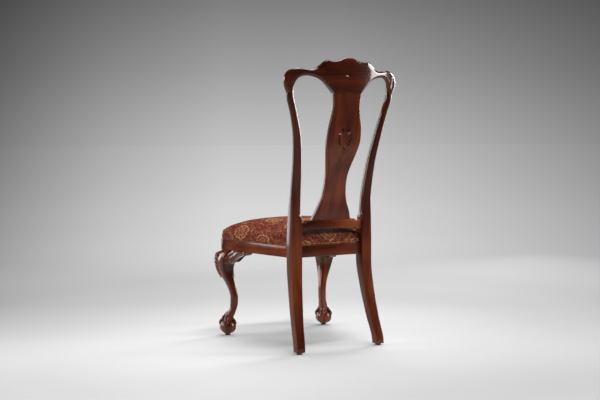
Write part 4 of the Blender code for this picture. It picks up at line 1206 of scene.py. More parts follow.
@dataclass
class CrestRail:
    """The bowed crest: a shaped board at the splat that thins to rounded arms and ears."""

    plan: SeatPlan
    joint: float = 0.9523
    height: float = 0.1291
    half_width: float = 0.2434
    thickness: float = 0.0235
    setback: float = 0.1138
    lean: float = 0.07
    bow: float = 0.0425
    bow_share: float = 0.92
    edge: float = 0.0077
    lower_edge: float = 0.0010
    arm_edge: float = 0.0105
    edge_limit: float = 0.8  # a corner's largest radius, as a share of half the section's length
    post_width: float = 0.0244
    post_setback: float = 0.0712
    steps: int = 5
    arm_run: float = 3.0  # how many of the shoulder's points the arm takes to round
    post_run: float = 3.5  # how many of them the post takes to take over
    corner_steps: int = 5
    flat_steps: int = 7
    hump: Rows = (
        (0.0, 1.0), (0.082, 0.981), (0.164, 0.926), (0.242, 0.892), (0.3125, 0.896), (0.357, 0.926))
    shoulder: Rows = (
        (0.357, 0.926), (0.406, 0.870), (0.457, 0.792), (0.531, 0.695), (0.605, 0.654), (0.695, 0.665),
        (0.793, 0.691), (0.883, 0.662), (0.951, 0.576), (0.990, 0.446), (0.998, 0.305), (0.967, 0.119),
        (0.940, 0.0))
    arch: Rows = (
        (0.240, 0.0), (0.276, 0.071), (0.347, 0.199), (0.408, 0.305), (0.488, 0.398), (0.582, 0.4535),
        (0.664, 0.472), (0.730, 0.450), (0.789, 0.387), (0.826, 0.283), (0.842, 0.134), (0.838, 0.0))
    pairs: tuple[float, ...] = (0.0, 1.35, 2.6, 4.0, 5.0, 6.0, 7.0, 7.7, 8.4, 9.0, 9.55, 10.3, 11.0)
    foot_shares: tuple[float, ...] = (0.0, 0.048, 0.105, 0.160, 0.205, 0.240)
    star_width: float = 0.0326
    star_height: float = 0.0182
    star_rise: float = 0.484
    star_waist: float = 0.34
    star_points: int = 4
    tone_rise: float = 0.09

    def middle(self, x: float, z: float) -> float:
        """The middle of its thickness in Y: it leans back and bows in plan."""
        reach = min(abs(x) / (self.half_width * self.bow_share), 1.0)
        return self.plan.line + self.setback + self.lean * (z - self.joint) - self.bow * reach**2

    def half_rows(self) -> list[tuple[Array, Array, float, float]]:
        """Pairs the top line with the foot and the arch, from the middle out.

        Returns:
            Outer point, inner point and how far the section is an arm's and a post's.
        """
        hump = smooth_line(self.hump, self.steps)
        feet = smooth_line([(share, 0.0) for share in self.foot_shares], self.steps)
        rows = [(outer, inner, 0.0, 0.0) for outer, inner in zip(hump[:-1], feet[:-1])]
        shoulder = smooth_line(self.shoulder, self.steps)
        arch = smooth_line(self.arch, self.steps)
        pairs = smooth_line([(pair,) for pair in self.pairs], self.steps)[:, 0]
        for index, outer in enumerate(shoulder):
            inner = along_line(arch, pairs[index] * self.steps)
            arm = soft_step(index / self.steps / self.arm_run)
            post = soft_step(1 - (len(shoulder) - 1 - index) / self.steps / self.post_run)
            rows.append((outer, inner, float(arm), float(post)))
        return rows

    def ring(self, outer: Array, inner: Array, arm: float, post: float, sign: int) -> list[Row]:
        """Draws one section between the top line and the foot or the arch.

        Args:
            outer: its point on the top line, in shares of the crest's size.
            inner: its point on the foot or the arch.
            arm: how far it is an arm's section, from 0 to 1.
            post: how far it is the post's section, from 0 to 1.
            sign: 1 for the left half, -1 for the right.

        Returns:
            Its points in order.
        """
        scale = np.array((self.half_width, self.height))
        far, near = outer * scale, inner * scale
        half = np.linalg.norm(far - near) / 2
        along = (far - near) / (2 * half)
        centre = (far + near) / 2
        thick = (self.thickness + (self.post_width - self.thickness) * post) / 2
        top, low = [min(edge + (self.arm_edge - edge) * arm, half * self.edge_limit)
                    for edge in (self.edge, self.lower_edge)]
        points = []
        for run, across in rounded_section(half, thick, top, low, self.corner_steps, self.flat_steps):
            x, z = centre + along * run
            height = max(self.joint + z, self.joint)
            board = self.middle(x, height)
            stile = self.plan.line + self.post_setback + self.lean * (height - self.joint)
            points.append((sign * x, board + (stile - board) * post + across, height))
        return points

    def star(self) -> list[Row]:
        """Draws the four-pointed star cut through its middle.

        Returns:
            Its outline in X and Z.
        """
        centre = self.joint + self.height * self.star_rise
        outline = []
        for point in range(2 * self.star_points):
            reach = 0.5 if point % 2 == 0 else self.star_waist / 2
            angle = math.pi / self.star_points * point
            x, rise = math.cos(angle) * reach * self.star_width, math.sin(angle) * reach * self.star_height
            outline.append((x, centre + rise))
        return outline

    def build(self, bench: Bench) -> None:
        """Adds the crest.

        Args:
            bench: makes the pieces.
        """
        rows = self.half_rows()
        rings = [self.ring(*row, -1) for row in reversed(rows[1:])] + [self.ring(*row, 1) for row in rows]
        centre = self.middle(0, self.joint + self.height / 2)
        mesh = pierced(skin(rings), [self.star()], centre, self.thickness)
        shade_levels(mesh, ((self.joint, -0.5), (self.joint + self.tone_rise, -1.0)))
        finish = Mahogany("mahogany_crest", Grain.ACROSS, figure=1.3, coat=0.90)
        bench.piece("crest", mesh, finish, ["crest_rail"])


@dataclass
class Splat:
    """Vase splat, S-shaped in side view, with a pierced tulip."""

    plan: SeatPlan
    crest: CrestRail
    bottom: float = 0.4837
    top: float = 0.952
    width: float = 0.168
    thickness: float = 0.0245
    edge: float = 0.0034
    foot_y: float = 0.0154
    rows: int = 84
    edge_steps: int = 8
    corner_steps: int = 4
    flat_steps: int = 16
    halves: Rows = (
        (0.0, 1.0), (0.075, 0.835), (0.155, 0.655), (0.235, 0.560), (0.320, 0.527), (0.405, 0.568),
        (0.525, 0.728), (0.610, 0.824), (0.670, 0.843), (0.750, 0.812), (0.850, 0.700), (0.925, 0.655),
        (1.0, 0.690))
    leans: Rows = (
        (0.0, 0.0), (0.06, 0.085), (0.155, 0.150), (0.25, 0.240), (0.345, 0.345), (0.44, 0.500),
        (0.525, 0.645), (0.61, 0.765), (0.71, 0.840), (0.83, 0.900), (0.955, 0.975), (1.0, 1.0))
    pattern: float = 0.097
    pattern_rise: float = 0.548
    slot: float = 0.0082
    lobe: float = 0.0101
    lobe_points: int = 24
    lobes: Rows = ((0.0, 0.73, 0.27, 0.0), (0.055, 0.715, 0.205, 0.21), (-0.055, 0.715, 0.205, -0.21))
    hook: Rows = (
        (0.115, 0.665), (0.195, 0.685), (0.258, 0.63), (0.260, 0.50), (0.228, 0.36), (0.178, 0.22))
    hook_widths: Rows = ((0, 0.7), (1, 1.0), (2, 1.0), (3, 0.95), (4, 0.8), (5, 0.5))
    hook_steps: int = 4
    drop_height: float = 0.17
    drop_width: float = 0.122

    @property
    def pattern_foot(self) -> float:
        """How high the tulip starts."""
        return self.bottom + (self.top - self.bottom) * self.pattern_rise

    def middle(self, height: float) -> float:
        """Finds the middle of its thickness in Y.

        Args:
            height: how high over the floor.

        Returns:
            The place in Y. At its head it is the bowed crest's, a third of the way out.
        """
        part = min(max((height - self.bottom) / (self.top - self.bottom), 0.0), 1.0)
        foot = self.plan.line + self.foot_y - self.thickness / 2
        lean = self.crest.middle(self.width / 6, self.crest.joint) - foot
        return foot + read_rows(self.leans, part)[0] * lean

    def rings(self) -> list[list[Row]]:
        """Draws its sections.

        Returns:
            One ring for each, from the foot up.
        """
        line = smooth_line(self.halves, self.edge_steps)
        rings = []
        for rise in np.linspace(0, 1, self.rows):
            height = self.bottom + (self.top - self.bottom) * rise
            half = float(np.interp(rise, line[:, 0], line[:, 1])) * self.width / 2
            section = rounded_section(
                half, self.thickness / 2, self.edge, self.edge, self.corner_steps, self.flat_steps)
            rings.append([(x, self.middle(height) + y, height) for x, y in section])
        return rings

    def teardrop(self, x: float, z: float, length: float, lean: float) -> list[Row]:
        """Draws a teardrop.

        Args:
            x: where its point is, from the middle.
            z: how high that is.
            length: how long it is.
            lean: how far it turns from upright, in radians.

        Returns:
            Its outline in X and Z.
        """
        outline = []
        for step in range(self.lobe_points):
            turn = 2 * math.pi * (step + 0.5) / self.lobe_points
            along = length * (1 - math.cos(turn)) / 2
            bulge = math.sin(turn / 2 if turn < math.pi else math.pi - turn / 2)
            across = self.lobe / 2 * math.sin(turn) * bulge
            outline.append((x + along * math.sin(lean) + across * math.cos(lean),
                            z + along * math.cos(lean) - across * math.sin(lean)))
        return outline

    def hooked_slot(self, sign: int) -> list[Row]:
        """Draws one of the two hooked slots.

        Args:
            sign: 1 for the left one, -1 for the right.

        Returns:
            Its outline in X and Z.
        """
        points = [(sign * x * self.pattern, self.pattern_foot + z * self.pattern) for x, z in self.hook]
        path = smooth_line(points, self.hook_steps)
        left, right = [], []
        for index, point in enumerate(path):
            run = path[min(index + 1, len(path) - 1)] - path[max(index - 1, 0)]
            across = np.array((-run[1], run[0])) / np.linalg.norm(run)
            across = across * self.slot * read_rows(self.hook_widths, index / self.hook_steps)[0] / 2
            left.append(tuple(point + across))
            right.append(tuple(point - across))
        return left + right[::-1]

    def holes(self) -> list[list[Row]]:
        """Draws the tulip: three lobes, two hooked slots and a small diamond.

        Returns:
            Their outlines in X and Z.
        """
        low, size = self.pattern_foot, self.pattern
        lobes = [self.teardrop(x * size, low + z * size, length * size, lean * math.pi)
                 for x, z, length, lean in self.lobes]
        drop, half = size * self.drop_height, size * self.drop_width / 2
        diamond = [(0, low), (half, low + drop / 2), (0, low + drop), (-half, low + drop / 2)]
        return lobes + [self.hooked_slot(1), self.hooked_slot(-1), diamond]

    def build(self, bench: Bench) -> None:
        """Adds the splat.

        Args:
            bench: makes the pieces.
        """
        centre = self.middle(self.pattern_foot + self.pattern / 2)
        mesh = pierced(skin(self.rings()), self.holes(), centre, self.thickness * 2)
        finish = Mahogany("mahogany_splat", Grain.UPRIGHT, figure=1.6)
        bench.piece("splat", mesh, finish, ["back_splat"])


@dataclass
class SeatRails:
    """The shoe rail, and the four rails of the seat frame with eased edges."""

    ease: float = 0.0011
    across: Mahogany = Mahogany(
        "mahogany_rail", Grain.ACROSS, middle=(0.100, 0.0175, 0.0050), light=(0.210, 0.046, 0.0125),
        figure=2.0)
    deep: Mahogany = Mahogany(
        "mahogany_side_rail", Grain.DEEP, middle=(0.150, 0.0290, 0.0080), light=(0.480, 0.106, 0.0270),
        figure=2.0, coat=0.25)

    def build(self, bench: Bench) -> None:
        """Adds the five rails.

        Args:
            bench: makes the pieces.
        """
        shoe = shade_ends(merged_copy("shoe_rail"), 0, dark=-1.8, light=1.3, centre=0.33)
        bench.piece("shoe", shoe, self.across, ["shoe_rail"])
        for end in ("front", "rear"):
            node = f"{end}_seat_rail"
            mesh = shade_ends(eased(merged_copy(node), self.ease), 0)
            bench.piece(f"rail_{end}", mesh, self.across, [node])
        for side in Side:
            node = f"side_seat_rail_{side.word}"
            mesh = shade_ends(eased(merged_copy(node), self.ease), 1, dark=-1.6, light=1.5, centre=0.62)
            bench.piece(f"rail_{side.word}", mesh, self.deep, [node])


@dataclass
class FrontLegs:
    """Cabriole legs with carved knees, each on a ball gripped by four claws."""

    plan: SeatPlan
    finish: Mahogany = Mahogany(
        "mahogany_leg", Grain.UPRIGHT, middle=(0.090, 0.0160, 0.0050), light=(0.180, 0.040, 0.0115),
        coat=0.60)
    inset: float = 0.0355
    ahead: float = 0.0254
    swing: float = 0.0266
    top_width: float = 0.0768
    ball: float = 0.0307
    ball_steps: tuple[int, int] = (48, 32)
    floor: float = 0.0046
    flat_gap: float = 0.0004
    voxel: float = 0.0012
    levels: int = 90
    sides: int = 96
    stations: Rows = (
        (0.166, 0.00, 0.400, 2.0), (0.233, -0.325, 0.430, 2.0), (0.277, -0.595, 0.400, 2.0),
        (0.324, -0.866, 0.368, 2.0), (0.388, -1.000, 0.372, 2.0), (0.457, -0.996, 0.376, 2.0),
        (0.535, -0.758, 0.405, 2.3), (0.607, -0.415, 0.480, 2.6), (0.685, 0.00, 0.602, 2.9),
        (0.776, 0.343, 0.745, 3.3), (0.854, 0.354, 0.870, 3.9), (0.900, 0.190, 0.935, 4.4),
        (0.931, -0.050, 0.975, 4.8), (0.967, -0.400, 0.960, 5.2), (1.0, -0.800, 0.862, 5.4))
    claw_rows: Rows = (
        (0.0, 0.16, 2.95, 0.20), (1.0, 0.42, 2.40, 0.23), (2.0, 0.66, 1.98, 0.235), (3.0, 0.90, 1.57, 0.26),
        (4.0, 0.91, 1.00, 0.215), (5.0, 0.79, 0.50, 0.165), (6.0, 0.52, 0.20, 0.085))
    claw_steps: int = 10
    claw_sides: int = 18
    knuckles: Rows = ((3.05, 0.34, 0.20), (1.75, 0.30, 0.13), (4.55, 0.25, 0.10), (3.8, 0.30, -0.10))
    root_follow: float = 0.60
    crisp: float = 1.3
    leaf_drop: float = 0.008
    leaf_length: float = 0.108
    leaf_width: float = 0.0270
    leaf_height: float = 0.0074
    leaf_lobes: float = 6.0
    leaf_slant: float = 0.017
    leaf_bevel: float = 0.003
    vein: float = 0.0034
    stem: float = 0.0020
    stub_gap: float = 0.0002
    arris_start: Row = (0.030, 0.012)  # how far below the rails the moulded arris fades in, and how fast
    arris_end: Row = (0.125, -0.05)  # the same where it fades out
    bead: Row = (0.985, 0.05)  # how far the surface faces out of the arris there, and how wide it is
    groove: Row = (0.855, 0.045)
    bead_height: float = 0.0007
    groove_depth: float = 0.0008
    crease_top: float = 2.3  # how high the creases reach, as a share of the ball
    crease_core: float = 0.004
    claw_half: float = 0.0078
    crease: float = 0.0016

    @property
    def top(self) -> float:
        """Where the leg meets the rails."""
        return self.plan.bottom - self.plan.gap

    @property
    def foot(self) -> Vector:
        """The middle of the left foot on the floor."""
        return Vector((self.plan.width / 2 - self.inset, self.plan.front + self.ahead, 0))

    @property
    def diagonal(self) -> Vector:
        """Outward from the seat's left front corner."""
        return Vector((1, -1, 0)).normalized()

    def section(self, height: float) -> tuple[Vector, float, float]:
        """Reads the left leg's section.

        Args:
            height: how high over the floor.

        Returns:
            Its centre, half its width and how square it is.
        """
        shift, width, power = read_rows(self.stations, height / self.top)
        centre = self.foot + self.diagonal * self.swing * shift + Vector((0, 0, height))
        return centre, self.top_width * width / 2, power

    def shank(self) -> Mesh:
        """Makes the leg from the ball to the rails.

        Returns:
            A closed mesh, whose sections are rounder toward the knee's front.
        """
        rings = []
        for height in np.linspace(self.stations[0][0] * self.top, self.top, self.levels):
            centre, half, power = self.section(height)
            ring = []
            for step in range(self.sides):
                angle = 2 * math.pi * (step + 0.5) / self.sides
                knee = max(math.cos(angle + math.pi / 4), 0) ** 2
                share = 2 / (power + self.crisp * (1 - knee))
                turn = (math.cos(angle), math.sin(angle))
                x, y = [math.copysign(abs(part) ** share, part) for part in turn]
                ring.append(centre + Vector((x, y, 0)) * half)
            rings.append(ring)
        return skin(rings)

    def ball_mesh(self) -> Mesh:
        """Makes the ball, cut flat where the glide sits.

        Returns:
            A closed mesh.
        """
        shape = bmesh.new()
        around, up = self.ball_steps
        centre = self.foot + Vector((0, 0, self.floor + self.ball))
        bmesh.ops.create_uvsphere(shape, u_segments=around, v_segments=up, radius=self.ball)
        bmesh.ops.translate(shape, verts=shape.verts[:], vec=centre)
        for vert in shape.verts:
            vert.co.z = max(vert.co.z, self.floor + self.flat_gap)
        return mesh_of(shape)

    def claw_path(self, quarter: int) -> tuple[list[Vector], list[float]]:
        """Works out where one claw runs, from its root on the ankle down over the ball.

        Args:
            quarter: which of the four it is, counted round from the outer one.

        Returns:
            Its points, and its half width at each, which swells at the knuckles.
        """
        direction = Matrix.Rotation(math.pi / 2 * quarter, 3, "Z") @ self.diagonal
        path, widths = [], []
        for step in range(self.claw_steps * (len(self.claw_rows) - 1) + 1):
            key = step / self.claw_steps
            out, rise, thick = read_rows(self.claw_rows, key)
            height = self.floor + rise * self.ball
            follow = min(max(height / self.ball - 2, 0) * self.root_follow, 1)
            shift = read_rows(self.stations, max(height / self.top, self.stations[0][0]))[0]
            root = self.diagonal * self.swing * shift * follow
            path.append(self.foot + root + direction * out * self.ball + Vector((0, 0, height)))
            widths.append(thick * (1 + bumps(key, self.knuckles)) * self.ball)
        return path, widths

    def claws(self, bench: Bench) -> Mesh:
        """Sweeps the four claws.

        Args:
            bench: what keeps the finishes.

        Returns:
            The claws, each a closed part of one mesh.
        """
        paths, widths = zip(*[self.claw_path(quarter) for quarter in range(4)])
        mesh = path_mesh(paths)
        write_attribute(mesh, "width", np.concatenate(widths))
        tree = Tree("claws", {"Fullness": 1.0, "Sides": self.claw_sides})
        curve = tree.take("GeometryNodeMeshToCurve", {"Mesh": tree.given("Geometry")})
        width = tree.take("GeometryNodeInputNamedAttribute", {"Name": "width"}, data_type="FLOAT")
        width = width * tree.given("Fullness")
        sized = tree.take("GeometryNodeSetCurveRadius", {"Curve": curve, "Radius": width})
        swept = tree.swept(sized, tree.given("Sides"), 1.0, width)
        return tree.run(mesh, swept, bench.finish(self.finish))

    def carve(self, mesh: Mesh) -> None:
        """Raises the leaf on the knee and the bead beside each arris, glazes their hollows, and paints shade
        on the inner and rear faces under the rails.

        Args:
            mesh: the left leg's mesh, which is changed.
        """
        places, normals = places_of(mesh)
        across = np.array((1, 1, 0)) / math.sqrt(2)
        aside = np.abs((places - np.array(self.foot)) @ across)
        outward = normals @ np.array(self.diagonal)
        drop = self.top - places[:, 2]
        edge, scale, fine = self.leaf(aside, drop, outward)
        stem = bell(aside, 0, self.stem)
        leaf = edge * (scale + 0.22 * stem - 0.10 * fine * (1 - stem))
        corner = np.abs(normals @ across)
        arris = turned_on(drop, *self.arris_end) * turned_on(drop, *self.arris_start) * (outward > -0.75)
        groove = bell(corner, *self.groove) * arris * (1 - edge)
        bead = bell(corner, *self.bead) * arris * (1 - edge)
        lift = leaf * self.leaf_height + bead * self.bead_height - groove * self.groove_depth
        set_places(mesh, places + normals * lift[:, None])
        hollow = edge * (1 - scale) * 1.1 + groove * 0.6 + self.claw_crease(places) + edge * fine * 0.25
        write_attribute(mesh, "hollow", np.clip(hollow, 0, 1))
        write_attribute(mesh, "rub", np.clip(edge * scale**3 * 0.7 + bead * 0.5, 0, 1))
        # Painted shade: the inner and rear faces just under the rails are marked darker.
        inner = turned_on(np.maximum(-normals[:, 0], normals[:, 1]), 0.16, 0.8)
        write_attribute(mesh, "tone", 0.3 - 1.1 * inner * turned_on(drop, 0.15, -0.08))

    def leaf(self, aside: Array, drop: Array, outward: Array) -> tuple[Array, ...]:
        """Draws the leaf that hangs down the knee.

        Args:
            aside: how far each place is from the knee's ridge.
            drop: how far it is below the rails.
            outward: how much its surface faces outward.

        Returns:
            Where the leaf lies, how far each lobe stands up and where its veins run, from 0 to 1.
        """
        part = (drop - self.leaf_drop) / self.leaf_length
        turn = self.leaf_lobes * part - aside / self.leaf_slant
        lobe = turn - np.floor(turn)
        ripple = 0.84 + 0.16 * np.cos(2 * math.pi * turn)
        width = self.leaf_width * np.clip(1.02 - part, 0, 1) ** 0.6 * ripple
        edge = soft_step((width - aside) / self.leaf_bevel + 0.5) * turned_on(outward, 0, 0.3)
        edge = edge * turned_on(part, 0, 0.08) * turned_on(part, 1, -0.06)
        scale = 0.08 + 0.92 * lobe**0.9 * turned_on(lobe, 1, -0.16)
        fine = 0.5 + 0.5 * np.cos(2 * math.pi * (aside + 0.5 * drop) / self.vein)
        return edge, scale, fine

    def claw_crease(self, places: Array) -> Array:
        """Finds the creases between the ball and the claws.

        Args:
            places: the leg's vertices, as rows.

        Returns:
            How deep in a crease each lies, from 0 to 1.
        """
        flat = places - np.array(self.foot)
        quarter = math.pi / 2
        from_claw = np.abs(np.arctan2(flat[:, 1], flat[:, 0]) % quarter - quarter / 2)
        radius = np.maximum(np.linalg.norm(flat[:, :2], axis=1), self.crease_core)
        near_ball = places[:, 2] < self.floor + self.ball * self.crease_top
        return 0.85 * bell(from_claw * radius, self.claw_half, self.crease) * near_ball

    def stub(self) -> Mesh:
        """Cuts the leg's inner post, inside the corner of the frame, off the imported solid.

        Returns:
            A closed mesh.
        """
        shape = shape_of(merged_copy("front_leg_left"))
        level = Vector((0, 0, self.plan.bottom + self.stub_gap))
        cut_across(shape, level, Vector((0, 0, -1)), clear=True)
        bmesh.ops.holes_fill(shape, edges=[edge for edge in shape.edges if edge.is_boundary])
        return mesh_of(shape)

    def build(self, bench: Bench) -> None:
        """Adds both legs, each one body that is fused, softened and carved.

        Args:
            bench: makes the pieces.
        """
        rough = mesh_of(shape_of(self.shank(), self.ball_mesh(), self.claws(bench)), outward=False)
        soften = {"factor": 0.5, "iterations": 3}
        fused = changed(rough, ("REMESH", {"mode": "VOXEL", "voxel_size": self.voxel}), ("SMOOTH", soften))
        self.carve(fused)
        mesh = mesh_of(shape_of(fused, self.stub()), outward=False)
        bench.pair("leg", mesh, self.finish, "mahogany", "front_leg")


@dataclass
class KneeBrackets:
    """Scrolled brackets that carry each knee out along the rails."""

    plan: SeatPlan
    leg: FrontLegs
    length: float = 0.1171
    drop: float = 0.0557
    front_proud: float = 0.0115
    side_proud: float = 0.0072
    shelf: float = 0.0288
    start: float = -0.0290
    blend: float = 0.060
    tuck: float = 0.96  # where the rail's face lies, as a share of half the leg's top width
    swell: float = 0.75  # how much of its stand is added to the leg's side
    thinnest: float = 0.0012
    edge: float = 0.0030
    edge_limit: float = 0.4
    crowding: float = 1.4  # its points lie closer together toward the lower edge
    edge_steps: int = 5
    face_steps: int = 43
    lengthwise: int = 84
    curve_steps: int = 8
    mouldings: Rows = ((0.0042, 0.0013, 0.0009), (0.0080, 0.0015, -0.0011), (0.0115, 0.0016, 0.0007))
    moulded_depth: float = 0.02
    glaze_width: float = 0.0018
    glaze: float = 0.7
    lower: Rows = (
        (0.0, 1.0), (0.09, 0.88), (0.22, 0.65), (0.38, 0.45), (0.56, 0.31), (0.68, 0.245), (0.76, 0.265),
        (0.87, 0.22), (0.96, 0.11), (1.0, 0.0))

    def knee_reach(self, fall: float, proud: float) -> float:
        """Finds how far the leg's own side stands out past the rail.

        Args:
            fall: how far below the rail.
            proud: how far the bracket stands out beside the leg.

        Returns:
            The reach, in metres.
        """
        centre, half, _ = self.leg.section(self.leg.top - fall)
        top_centre, _, _ = self.leg.section(self.leg.top - self.shelf)
        return centre.x - top_centre.x + half - self.leg.top_width / 2 * self.tuck + proud * self.swell

    def section(self, run: float, depth: float, proud: float) -> list[Row]:
        """Draws its section across the rail.

        Args:
            run: how far along the rail.
            depth: how far it hangs there.
            proud: how far it stands out beside the leg.

        Returns:
            Its points in order, as (reach, rise).
        """
        beyond = min(max(run / self.length, 0.0), 1.0)
        share = float(turned_on(run, self.start, self.blend))
        edge = min(self.edge, depth * self.edge_limit)
        outer = []
        for step in range(self.face_steps + 1):
            fall = (depth - edge) * (1 - (1 - step / self.face_steps) ** self.crowding)
            part = min(fall / self.shelf, 1.0)
            reach = proud * (1 - beyond) ** 2 * part * (2 - part)
            reach = reach * share + self.knee_reach(fall, proud) * (1 - share)
            mould = bumps(depth - fall, self.mouldings) * min(depth / self.moulded_depth, 1.0) * share
            outer.append((reach + mould, -fall))
        base = outer[-1][0]
        for step in range(1, self.edge_steps + 1):
            angle = math.pi / 2 * step / self.edge_steps
            outer.append((base - edge * (1 - math.cos(angle)), -(depth - edge) - edge * math.sin(angle)))
        back = -self.plan.rail
        return outer + [(back, -depth), (back, -depth / 2), (back, 0.0)]

    def mesh(self, origin: Vector, along: Vector, outward: Vector, proud: float) -> Mesh:
        """Makes one bracket of the left side.

        Args:
            origin: where its run begins, on the rail's face beside the leg.
            along: the way it runs, along the rail.
            outward: out from the rail's face.
            proud: how far it stands out beside the leg.

        Returns:
            Its mesh, with its hollows marked.
        """
        outline = [(self.length * run, self.drop * share) for run, share in self.lower]
        low = smooth_line(outline, self.curve_steps)
        rings, hollows = [], []
        for run in np.linspace(self.start, self.length, self.lengthwise):
            depth = max(float(np.interp(run, low[:, 0], low[:, 1])), self.thinnest)
            ring = []
            for reach, rise in self.section(float(run), depth, proud):
                place = origin + along * float(run) + outward * float(reach)
                ring.append((place.x, place.y, self.leg.top + rise))
                hollows.append(bell(depth + rise, self.mouldings[1][0], self.glaze_width))
            rings.append(ring)
        made = skin(rings)
        write_attribute(made, "hollow", np.array(hollows) * self.glaze)
        return made

    def build(self, bench: Bench) -> None:
        """Adds the four brackets.

        Args:
            bench: makes the pieces.
        """
        half = self.leg.top_width / 2
        middle = self.leg.section(self.leg.top)[0]
        front = Vector((middle.x - half, self.plan.front, 0))
        side = self.plan.side_face(middle.y + half)
        places = (
            ("front", front, Vector((-1, 0, 0)), Vector((0, -1, 0)), self.front_proud, Grain.ACROSS),
            ("side", side, -self.plan.forward, self.plan.outward, self.side_proud, Grain.DEEP))
        for word, origin, along, outward, proud, grain in places:
            mesh = self.mesh(origin, along, outward, proud)
            finish = Mahogany(f"mahogany_bracket_{word}", grain, coat=0.60)
            bench.pair(f"bracket_{word}", mesh, finish, "mahogany", f"knee_bracket_{word}", smooth=50)


@dataclass
class FrameHardware:
    """Corner blocks, dowels, bolts, nuts and screws inside the seat frame."""

    ease: float = 0.0008
    ease_steps: int = 2
    block: Birch = Birch("birch_block")
    dowel: Birch = Birch("birch_dowel", Grain.UPRIGHT)
    steel: Steel = Steel("plated_steel")

    def build(self, bench: Bench) -> None:
        """Adds the blocks, the fasteners and the dowels.

        Args:
            bench: makes the pieces.
        """
        for side in Side:
            for end in ("front", "rear"):
                place = f"{end}_{side.word}"
                block = eased(merged_copy(f"corner_block_{place}"), self.ease, self.ease_steps)
                bench.piece(f"block_{place}", block, self.block, [f"corner_block_{place}"])
                bench.copy(f"screw_{place}", f"seat_screw_{place}", self.steel, "steel")
            for name, node in (("bolt", "leg_bolt"), ("nut", "leg_nut"), ("long_screw", "post_screw")):
                bench.copy(f"{name}_{side.word}", f"{node}_{side.word}", self.steel, "steel")
            bench.copy(f"dowel_{side.word}", f"crest_dowel_{side.word}", self.dowel, "birch")


